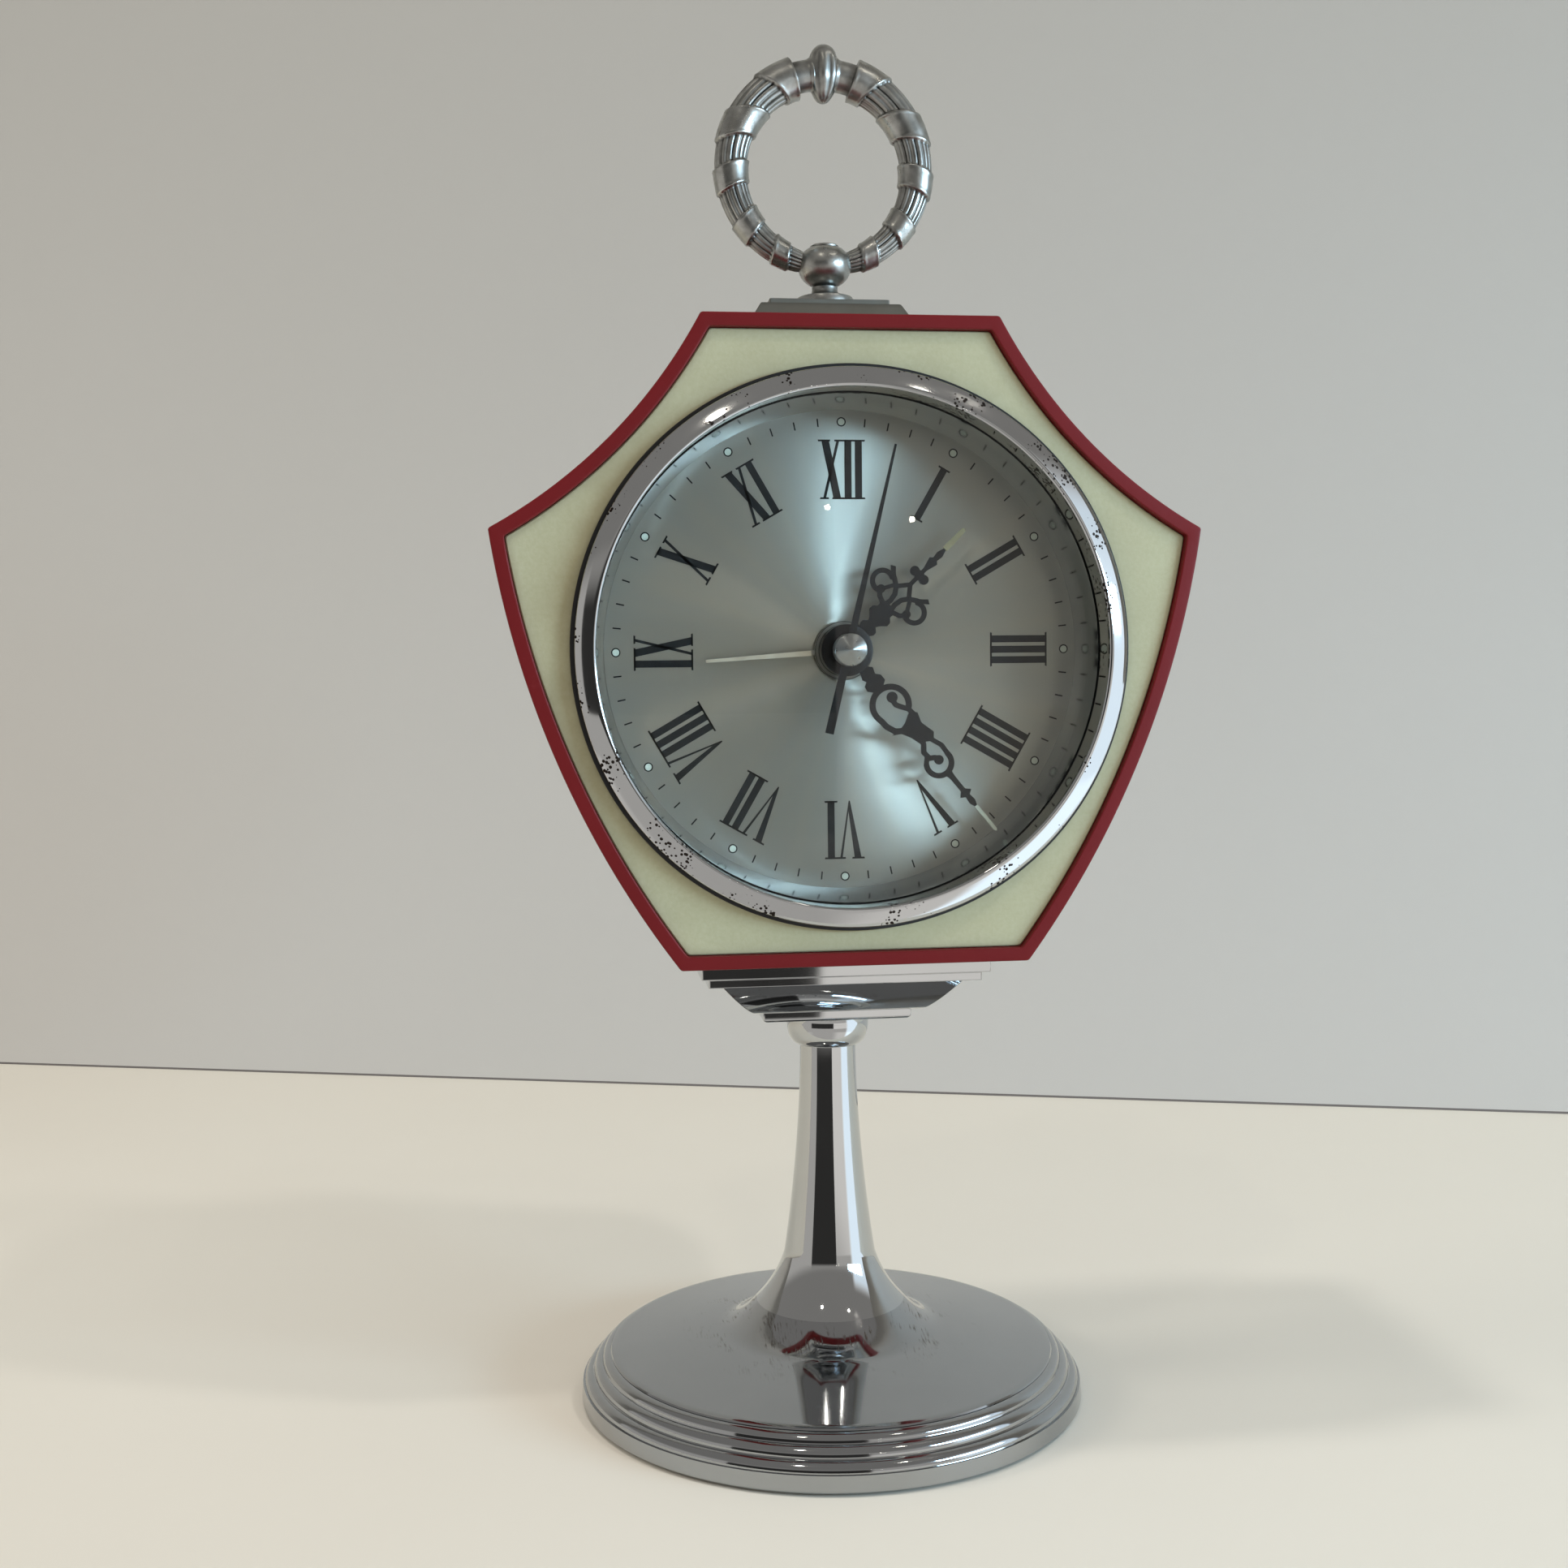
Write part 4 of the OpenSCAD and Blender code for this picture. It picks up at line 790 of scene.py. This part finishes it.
def bezel():
    """Bright ring: broad outer slope, tight crest at its inner edge, short drop to the glass."""
    crest, behind, glass_r = BEZEL_LOW.y, GASKET_LOW.y, BEZEL_R - 4.0
    seat, band = glass_r + 2.0, BEZEL_R - glass_r - 1.2
    path = [(seat + 0.8, BEZEL_HIGH.y), (seat + 0.8, behind)]
    path += [(BEZEL_R - 0.15, behind), (BEZEL_R, behind - 0.15)]
    path += curve((BEZEL_R - 0.5, crest + 1.95), 0.5, -0.45, 0, 62, 6)
    path += [(BEZEL_R - 0.35 - band * i / 10, crest + 1.5 - 1.45 * (i / 10) ** 0.86) for i in range(1, 11)]
    path += curve((glass_r + 0.5, crest + 0.5), 0.5, -0.5, 75, 175, 8)
    path += [(glass_r, crest + 2), (glass_r, SEAT_Y), (seat, SEAT_Y), (seat, BEZEL_HIGH.y)]
    shape = lathe(path, facing, 256)
    piece("plated_bezel", *shape, BEZEL_CHROME, slot="chrome", replaces=["bezel"], crease=50)


def gasket():
    """Flat rubber ring behind the bezel."""
    low, high = GASKET_LOW.y, GASKET_HIGH.y
    r = (GASKET_HIGH.x - GASKET_LOW.x) / 2
    path = rounded([(HOLE_R, high), (r, high), (r, low), (HOLE_R, low)], 0.25)
    shape = lathe(path, facing, 256)
    piece("rubber_gasket", *shape, RUBBER, slot="black_rubber", replaces=["bezel_gasket"])


def crystal():
    """Domed acrylic with a flat rim held in the bezel."""
    rim_r, dome_r = CRYSTAL_HIGH.x, 49.1
    back, rise = CRYSTAL_HIGH.y, SEAT_Y - CRYSTAL_LOW.y
    path = [(rim_r, back), (rim_r, SEAT_Y), (dome_r, SEAT_Y)]
    path += [(dome_r * (1 - i / 24), SEAT_Y - rise * (1 - (1 - i / 24) ** 2)) for i in range(1, 25)]
    path += [(dome_r * i / 24, back - rise * (1 - (i / 24) ** 2)) for i in range(25)]
    piece("domed_crystal", *lathe(path, facing), GLASS, slot="acrylic", replaces=["crystal"], crease=30)


def slanted_ring():
    """Slanted ring between glass and dial."""
    path = rounded([(47.5, DIAL_Y), (50.45, DIAL_Y), (50.45, -35.1), (49.5, -35.1), (49.3, -35.7)], 0.1)
    shape = lathe(path, facing, 256)
    piece("slanted_ring", *shape, SLANT, slot="mirror_ring", replaces=["rehaut"])


# ----- dial -----
# how far print stands over the dial and reaches into it
INK_LIFT, INK_SINK = 0.05, 0.02
HOUR_MARK_R = 45.2


def dial_plate():
    """Flat dial with a broken edge round its centre hole."""
    hole, back = 3.1, DIAL_HIGH.y
    path = [(2.9, back), (2.9, DIAL_Y + 0.1), (hole, DIAL_Y)]
    path += [(hole + (DIAL_R - hole) * i / 12, DIAL_Y) for i in range(1, 13)]
    path += [(DIAL_R, back)]
    piece("silver_dial", *lathe(path, facing), DIAL, slot="dial_silver", replaces=["dial"])


def stamp(shapes, name, material, low, high, slot, body="body"):
    """Thin raised shapes on the dial, from polygons in (x, z) about the dial axis."""
    verts, faces = [], []
    for shape in shapes:
        first, n = len(verts), len(shape)
        verts += [(x, low, DIAL_Z + z) for x, z in shape]
        verts += [(x, high, DIAL_Z + z) for x, z in shape]
        faces.append(tuple(range(first, first + n)))
        faces.append(tuple(range(first + 2 * n - 1, first + n - 1, -1)))
        for i in range(n):
            j = (i + 1) % n
            faces.append((first + i, first + j, first + n + j, first + n + i))
    piece(name, verts, faces, material, slot, body)


def turned(shape, angle):
    """Shape turned clockwise about the dial axis, angle in degrees."""
    a = radians(angle)
    return [(x * cos(a) + z * sin(a), z * cos(a) - x * sin(a)) for x, z in shape]


# feet and heads of the numerals, height of a serif, widths of the strokes
FOOT_R, HEAD_R = 30.0, 41.7
BAR = 0.36
THICK, THIN = 1.4, 0.55


def stroke(x0, x1, width):
    """Slanting or upright stroke of a numeral, from its foot to its head."""
    h = width / 2
    return [(x0 - h, FOOT_R), (x0 + h, FOOT_R), (x1 + h, HEAD_R), (x1 - h, HEAD_R)]


def bar(x0, x1, at_head):
    """Serif with a slight swell where it meets the strokes."""
    z0 = HEAD_R if at_head else FOOT_R
    z1 = z0 - BAR if at_head else z0 + BAR
    return [(x0, z0), (x1, z0), (x1 - 0.1, z1), (x0 + 0.1, z1)]


def letter(kind, x):
    """Strokes and serifs of one letter centred on x."""
    if kind == "I":
        return [stroke(x, x, THICK), bar(x - 1.35, x + 1.35, True), bar(x - 1.35, x + 1.35, False)]
    if kind == "V":
        return [
            [(x - 0.12, FOOT_R), (x + 0.12, FOOT_R), (x + 0.3, FOOT_R + 1.2),
             (x - 1.05, HEAD_R), (x - 2.45, HEAD_R)],
            [(x - 0.12, FOOT_R), (x + 0.12, FOOT_R), (x + 1.95, HEAD_R), (x + 1.45, HEAD_R)],
            bar(x - 3.1, x - 0.5, True), bar(x + 0.75, x + 2.65, True),
        ]
    return [
        stroke(x + 1.2, x - 1.25, THICK + 0.1), stroke(x - 1.45, x + 1.4, THIN),
        bar(x - 2.7, x - 0.15, True), bar(x + 0.6, x + 2.3, True),
        bar(x - 2.35, x - 0.5, False), bar(x + 0.1, x + 2.6, False),
    ]


# distance between the middles of two neighbouring letters
STEP = {"II": 2.1, "XI": 3.35, "IX": 3.35, "VI": 3.7, "IV": 3.7}


def numeral(text):
    """Roman numeral standing on its foot radius, centred on its own width."""
    at, places = 0.0, []
    for i, kind in enumerate(text):
        if i:
            at += STEP[text[i - 1:i + 1]]
        places.append((kind, at))
    shapes = [s for kind, x in places for s in letter(kind, x)]
    xs = [x for s in shapes for x, _ in s]
    middle = (min(xs) + max(xs)) / 2
    return [[(x - middle, z) for x, z in s] for s in shapes]


NUMERALS = "XII I II III IIII V VI VII VIII IX X XI".split()


def disc(z, r):
    """Circle standing z over the dial axis, as a polygon."""
    angles = [tau * i / 24 for i in range(24)]
    return [(r * cos(a), z + r * sin(a)) for a in angles]


def annulus(z, r0, r1):
    """Ring drawn as quads."""
    outer, inner = disc(z, r1), disc(z, r0)
    n = len(outer)
    return [[outer[i], outer[(i + 1) % n], inner[(i + 1) % n], inner[i]] for i in range(n)]


def dial_marks():
    """Numerals, minute ticks, hour circles and their luminous dots."""
    tick = [(-0.14, 44.4), (0.14, 44.4), (0.14, 46), (-0.14, 46)]
    prints = {
        "dial_numerals": [turned(s, 30 * i) for i, text in enumerate(NUMERALS) for s in numeral(text)],
        "minute_ticks": [turned(tick, 6 * i) for i in range(60) if i % 5],
        "hour_circles": [turned(s, 30 * i) for i in range(12) for s in annulus(HOUR_MARK_R, 0.68, 0.92)],
    }
    low, high = DIAL_Y - INK_LIFT, DIAL_Y + INK_SINK
    for name, shapes in prints.items():
        stamp(shapes, name, INK, low, high, "black_paint")
    dots = [turned(disc(HOUR_MARK_R, 0.66), 30 * i) for i in range(12)]
    stamp(dots, "hour_dots", PALE_LUME, low, high, "pale_gold")


def hand_paste():
    """Luminous paste on the tips of the hour and minute hands, turned to where they point."""
    lift, sink, hour_turn, minute_turn = 0.12, 0.35, 45.3, 140.4
    hour_y, minute_y = span("hour_hand")[0].y, span("minute_hand")[0].y
    hour = [(-0.5, 28.2), (-0.62, 29), (-0.46, 33.7), (0, 33.9), (0.46, 33.7), (0.62, 29), (0.5, 28.2)]
    minute = [(-0.3, 40.4), (-0.36, 41), (-0.34, 46.6), (0, 47), (0.34, 46.6), (0.36, 41), (0.3, 40.4)]
    hour, minute = [turned(hour, hour_turn)], [turned(minute, minute_turn)]
    stamp(hour, "hour_paste", HOUR_LUME, hour_y - lift, hour_y + sink, "pale_gold", "hours")
    stamp(minute, "minute_paste", PALE_LUME, minute_y - lift, minute_y + sink, "pale_gold", "minutes")


def hand_boss():
    """Black washer on the minute hand's root."""
    y = span("minute_hand")[0].y
    front, back = y - 0.12, y + 0.3
    path = [(3.3, back), (5.0, back), (5.1, y + 0.15), (5.1, y - 0.02), (4.9, front), (3.3, front)]
    piece("hand_washer", *lathe(path, facing, 96), PAINT, body="minutes", slot="black_paint", crease=30)


def hub():
    """Turned cone over the hands, on a short rim."""
    front, back = HUB_LOW.y, HUB_HIGH.y
    rim = back - 3.1
    path = [(0.5, rim), (0.5, back), (3.0, back), (3.2, back - 0.2), (3.2, back - 2.9), (3.05, rim)]
    path += [(3.05 - 2.75 * i / 12, rim - (rim - front) * (i / 12) ** 0.9) for i in range(1, 13)]
    path += [(0, front)]
    shape = lathe(path, facing, 96)
    piece("spun_hub", *shape, SPUN, body="seconds", slot="chrome", replaces=["hub_cap"], crease=30)


# ----- top -----
def top_plinth():
    """Two plates with a cove between them."""
    w, d = CAP_HIGH.x, (CAP_HIGH.y - CAP_LOW.y) / 2
    low, top = CAP_LOW.z, CAP_HIGH.z
    upper_w, upper_d = 12.4, 6.8
    levels = [(w - 1, d - 1, low), (w, d, low), (w, d, low + 1.4)]
    for i in range(1, 13):
        t = (i / 12) ** 0.7
        z = low + 1.4 + (top - low - 3.3) * i / 12
        levels.append((w - 0.6 - (w - upper_w - 3) * t, d - 0.6 - (d - upper_d - 3) * t, z))
    levels += [(upper_w + 2, upper_d + 2, top - 1.3), (upper_w, upper_d, top - 1)]
    levels += [(upper_w, upper_d, top), (upper_w - 1, upper_d - 1, top)]
    block("satin_cap", levels, SATIN, "pewter", ["top_plinth"], RING_Y)


def finial():
    """Foot disc, waist, flattened ball and dished cap, turned in one."""
    foot, ball, steps = CAP_HIGH.z, CAP_HIGH.z + 8.2, 96
    path = [(0, foot - 1), (5.7, foot - 0.2), (5.9, foot), (5.9, foot + 1.1), (5.7, foot + 1.45)]
    path += [(5.2, foot + 1.6), (4.3, foot + 1.7), (3.4, foot + 2.0), (2.85, foot + 2.5)]
    path += [(2.65, foot + 3.0), (2.7, foot + 3.6)]
    for i in range(31):
        a = radians(-72 + 130 * i / 30)
        half = 4.2 if a > 0 else 4.5
        path.append((5.55 * cos(a) ** 0.8, ball - 0.1 + half * sin(a)))
    path += [(2.75, ball + 3.5), (2.95, ball + 3.62), (3.0, ball + 3.85), (2.65, ball + 4.1)]
    path += [(2.0, ball + 4.18), (1.0, ball + 4.3), (0, ball + 4.35)]
    # the waist is the hollow that keeps its grime
    marks = [0.5 if r < 3.2 and z < ball else 0.0 for r, z in path for _ in range(steps)]
    shape = loft(circles(path, over_ring, steps))
    piece("turned_finial", *shape, PEWTER, slot="pewter", replaces=["finial"], crease=40, marks=marks)


# ribbon wraps: middle and slant of the upper edge, then of the lower edge, in degrees from the top
WRAPS = (
    (18.2, 0.0, 33.3, 4.7), (53, 7, 72, 4.9), (88, 3.4, 102.7, 2.1), (119.5, 2.5, 132.5, 1.9),
    (146, 2.8, 157, 2.0),
)
REEDS = 16
# radius of the cast tube by the ball and at the crown
LOW_TUBE_R, TOP_TUBE_R = 2.1, 4.2


def tube_radius(angle):
    """Radius of the bare tube, angle in degrees from the top."""
    share = 1 - min(angle, 165.0) / 165.0
    return LOW_TUBE_R + 0.1 + (TOP_TUBE_R - LOW_TUBE_R - 0.1) * share ** 0.62


def ring_point(angle, around):
    """Radius of the cast tube and how deep in a hollow the point lies."""
    if angle < WRAPS[0][0]:
        # plain neck with one fillet, beside the lobed bead
        size = 3.15 + 0.4 * smooth((9.5 - angle) / 2.5) * smooth((angle - 5.5) / 1.5)
        return size, 0.2 + 0.5 * smooth((angle - 12) / 5)
    outward = cos(around)
    covered, lip, under = 0.0, 0.0, 0.0
    for top, top_slant, low, low_slant in WRAPS:
        first, last = top + top_slant * outward, low + low_slant * outward
        inside = smooth((angle - first) / 0.9 + 0.5) * smooth((last - angle) / 0.9 + 0.5)
        covered = max(covered, inside)
        edge = exp(-((angle - first - 1.3) / 0.9) ** 2) + exp(-((last - angle - 1.3) / 0.9) ** 2)
        lip = max(lip, edge * inside)
        under = max(under, exp(-((angle - low - low_slant * outward - 0.9) / 0.8) ** 2))
    across = (around * REEDS / tau) % 1.0 * 2 - 1
    groove = 1 - sqrt(max(0.0, 1 - abs(across) ** 2.4 * 0.97))
    size = tube_radius(angle)
    r = size + covered * (0.32 + 0.06 * lip) - (1 - covered) * (0.1 + 0.7 * groove * size / 4)
    return r, (1 - covered) * min(1.0, 0.08 + 0.95 * groove + 0.6 * under)


def wreath():
    """Cast ring: reeded lengths bound by slanting ribbon wraps, thinner towards the ball."""
    turns, steps = 600, 120
    rings, marks = [], []
    for i in range(turns):
        a = tau * i / turns
        angle = abs(degrees(a) if a <= pi else degrees(a) - 360)
        ring = []
        for j in range(steps):
            b = tau * j / steps
            r, hollow = ring_point(angle, b)
            out = RING_R + r * cos(b)
            ring.append((out * sin(a), RING_Y + r * sin(b), RING_Z + out * cos(a)))
            marks.append(hollow)
        rings.append(ring)
    shape = loft(rings, wrap=True)
    piece("wreath_casting", *shape, PEWTER, slot="pewter", replaces=["wreath_ring"], crease=60, marks=marks)


def top_bead():
    """Upright lobed bead at the crown of the ring, fuller at its top than at its foot."""
    steps, lobes, widest, half_height = 96, 8, 3.25, 5.9
    rings, marks = [], []
    for i in range(49):
        tall = sin(radians(-90 + 180 * i / 48))
        full = (1 - abs(tall) ** 2.6) ** 0.5 * (1.0 - 0.2 * smooth(-tall))
        # the lobes run out below the smooth tip
        fade = 1 - smooth((tall - 0.3) / 0.5)
        ring = []
        for j in range(steps):
            b = tau * j / steps
            swell = abs(cos(b * lobes / 2 + 0.35))
            lobe = 1 - 0.1 * (1 - swell) * fade
            square = (abs(cos(b)) ** 2.5 + abs(sin(b)) ** 2.5) ** -0.4
            r = max(0.01, widest * full * lobe * square)
            z = RING_Z + RING_R + 0.1 + half_height * tall
            ring.append((r * cos(b), RING_Y + 1.32 * r * sin(b), z))
            marks.append(0.1 + (1 - swell) * fade * 0.6)
        rings.append(ring)
    piece("lobed_bead", *capped(rings), PEWTER, slot="pewter", crease=60, marks=marks)


# ----- set -----
def plane(name, edge_grime_and_shade, material):
    """Flat sheet of the set."""
    mesh = bpy.data.meshes.new(name)
    mesh.from_pydata([tuple(c * MM for c in v) for v in edge_grime_and_shade], [], [tuple(range(len(edge_grime_and_shade)))])
    mesh.materials.append(material)
    obj = new_object(name, mesh)
    return obj


def set_paint(name, dark, light, rough, shaded_top=None):
    """Matt paint with faint clouds, turning higher up, if asked, to a darker colour that is painted shade."""
    t = Finish(name, Specular_IOR_Level=0.1)
    colour = t.mix(t.noise(4, 4), dark, light)
    # the colour higher up is painted shade
    if shaded_top:
        height = t.add("ShaderNodeSeparateXYZ", {0: t.place}).outputs["Z"]
        colour = t.mix(t.ramp(height, 0.0, 0.45), colour, shaded_top)
    t.put("Base Color", colour)
    t.dull(30, 4, rough, rough + 0.1)
    t.bump(t.noise(700, 3), 0.02, 0.3)
    return t


def one_sided(paint):
    """Lets a view from behind look through the paint."""
    paint.clear_where(paint.add("ShaderNodeNewGeometry").outputs["Backfacing"])
    return paint.mat


def sheet(left, right, low, high):
    """Corners of an upright sheet between two points of the floor."""
    foot, head = Vector((0, 0, low)), Vector((0, 0, high))
    return [left + foot, right + foot, right + head, left + head]


def stage():
    """Pale floor and a pale wall, a little askew behind the clock, its colour darkening higher up as painted
    shade, with a painted line of shade at its foot.
    """
    floor = set_paint("floor_paint", rgb(222, 217, 205), rgb(228, 224, 213), 0.75).mat
    # the wall's darker colour higher up is painted shade
    wall = one_sided(set_paint("wall_paint", rgb(196, 194, 190), rgb(202, 200, 197), 0.7, rgb(166, 165, 161)))
    # dark paint for a painted line of shade at the wall's foot
    foot_shade = one_sided(set_paint("foot_shade_paint", rgb(110, 106, 104), rgb(126, 122, 120), 0.8))
    reach, front = 2600, -80
    plane("floor", [(-reach, front, 0), (reach, front, 0), (reach, reach, 0), (-reach, reach, 0)], floor)
    # gloss doesn't see the floor in front of the clock: it sees the room there
    edge_grime_and_shade = [(-reach, -reach, 0), (reach, -reach, 0), (reach, front, 0), (-reach, front, 0)]
    near = plane("floor_front", edge_grime_and_shade, floor)
    near.visible_glossy = False
    turn = radians(-17.9)
    along = Vector((cos(turn), sin(turn), 0)) * reach
    foot, behind = Vector((26.2, 282.9, 0)), Vector((0, 0.4, 0))
    left, right = foot - along, foot + along
    plane("wall", sheet(left, right, 0.9, 1900), wall)
    # thin dark sheet at the wall's foot: painted shade
    plane("wall_foot_shade", sheet(left + behind, right + behind, 0, 1.2), foot_shade)


AIM = Vector((0, 0, 150))
WARM, SOFT_WARM = (1.0, 0.92, 0.8), (1.0, 0.96, 0.92)


def lamp(name, place, size, watts, colour, shape="DISK", spread=180):
    """Area lamp aimed at the middle of the clock; a disc takes one size."""
    data = bpy.data.lights.new(name, "AREA")
    data.shape = shape
    data.size, data.size_y = size[0] * MM, size[-1] * MM
    data.energy = watts
    data.spread = radians(spread)
    data.color = colour
    obj = new_object(name, data)
    obj.location = Vector(place) * MM
    obj.rotation_mode = "QUATERNION"
    obj.rotation_quaternion = (AIM * MM - obj.location).to_track_quat("-Z", "Y")
    return obj


def lights():
    """Cool window at the right, weak warm room at the left, five ceiling lamps, two far spots."""
    lamp("window_right", (700, -520, 275), (520, 120), 2.45, (0.53, 0.79, 1.0), "RECTANGLE", 120)
    unseen = [
        lamp("room_left", (-1000, -60, 620), (280, 280), 2.5, (1.0, 0.95, 0.88), "RECTANGLE"),
        lamp("ceiling_left", (-250, -60, 1000), (80,), 1.8, SOFT_WARM),
        lamp("ceiling_right", (480, -400, 900), (70,), 1.3, SOFT_WARM),
    ]
    for obj in unseen:
        obj.visible_glossy = False
    lamp("ceiling_side", (480, -400, 900), (40,), 0.2, WARM)
    lamp("ceiling_front_left", (-462, -907, 1380), (80,), 0.9, WARM)
    lamp("ceiling_front_right", (569, -844, 1420), (60,), 0.45, WARM)
    lamp("far_spot_1", (340, -2481, 635), (18,), 0.06, (1.0, 0.96, 0.88))
    lamp("far_spot_2", (595, -2430, 592), (18,), 0.06, (1.0, 0.93, 0.8))


def surroundings():
    """Even room light; gloss sees a dark front, a dim ceiling, two bright floors and a cool window.

    Each part is a share from 0 to 1. z is the sine of a direction's height; its bearing is in
    degrees, to the right of straight out from the dial.
    """
    world = bpy.data.worlds.new("room")
    bpy.context.scene.world = world
    world.use_nodes = True
    t = Nodes(world.node_tree)

    def over(value, low, high):
        inputs = {"Value": value, "From Min": low, "From Max": high}
        return t.add("ShaderNodeMapRange", inputs, interpolation_type="SMOOTHSTEP").outputs[0]

    def less(whole, part):
        return t.math("SUBTRACT", whole, part)

    def under(value, low, high):
        return less(1.0, over(value, low, high))

    direction = t.add("ShaderNodeTexCoord").outputs["Generated"]
    x, y, z = t.add("ShaderNodeSeparateXYZ", {0: direction}).outputs
    bearing = t.times(t.math("ARCTAN2", x, t.times(y, -1.0)), 180 / pi)
    from_dark = t.math("ABSOLUTE", t.plus(bearing, 22.8))
    dark = t.times(under(z, 0.15, 0.35), over(z, -0.203, -0.193), under(from_dark, 31.1, 31.3))
    window = t.times(over(bearing, 44, 52), under(bearing, 100, 125), under(z, 0.4, 0.6))
    far_floor = t.times(over(z, -0.222, -0.212), under(z, -0.08, 0.0))
    far_floor = t.times(far_floor, t.times(over(bearing, 8.3, 8.5), under(bearing, 44, 52)))
    near_floor = t.times(under(z, -0.4, -0.36), over(from_dark, 25.0, 50.0))
    seen = less(0.56, t.times(over(z, 0.2, 0.4), 0.28))
    for part, strength in ((far_floor, 0.4), (near_floor, 0.3), (window, 1.0)):
        seen = t.plus(seen, t.times(part, strength))
    seen = t.times(seen, less(1.0, t.times(dark, 0.93)))

    even = 0.55
    glossy = t.add("ShaderNodeLightPath").outputs["Is Glossy Ray"]
    strength = t.add("ShaderNodeMix", {0: glossy, 2: even, 3: seen}, data_type="FLOAT").outputs[0]
    tint = t.mix(t.times(window, glossy), rgb(255, 249, 242), rgb(232, 245, 255))
    background = t.tree.nodes["Background"]
    t.tree.links.new(tint, background.inputs["Color"])
    t.tree.links.new(strength, background.inputs["Strength"])


def camera():
    """Slightly below the middle of the dial, looking a little down and to the right."""
    yaw, pitch, roll = 0.1278, -0.0587, -0.0107
    place = Vector((-57.672, -379.450, 154.568)) * MM
    ahead = Vector((sin(yaw) * cos(pitch), cos(yaw) * cos(pitch), sin(pitch)))
    right = Vector((cos(yaw), -sin(yaw), 0))
    up = right.cross(ahead)
    level_right = right * cos(roll) + up * sin(roll)
    level_up = up * cos(roll) - right * sin(roll)
    data = bpy.data.cameras.new("camera")
    data.lens, data.sensor_width = 41.11, 36.0
    data.clip_start, data.clip_end = 0.01, 20
    obj = new_object("camera", data)
    turn = Matrix((level_right, level_up, -ahead)).transposed().to_4x4()
    obj.matrix_world = Matrix.Translation(place) @ turn
    bpy.context.scene.camera = obj


dress_nodes()
camera()
stage()
lights()
surroundings()
base()
stem()
collar()
lower_plinth()
case()
panel()
bezel()
gasket()
crystal()
slanted_ring()
dial_plate()
dial_marks()
hand_paste()
hand_boss()
hub()
top_plinth()
finial()
wreath()
top_bead()

bpy.context.scene.view_settings.view_transform = "Standard"
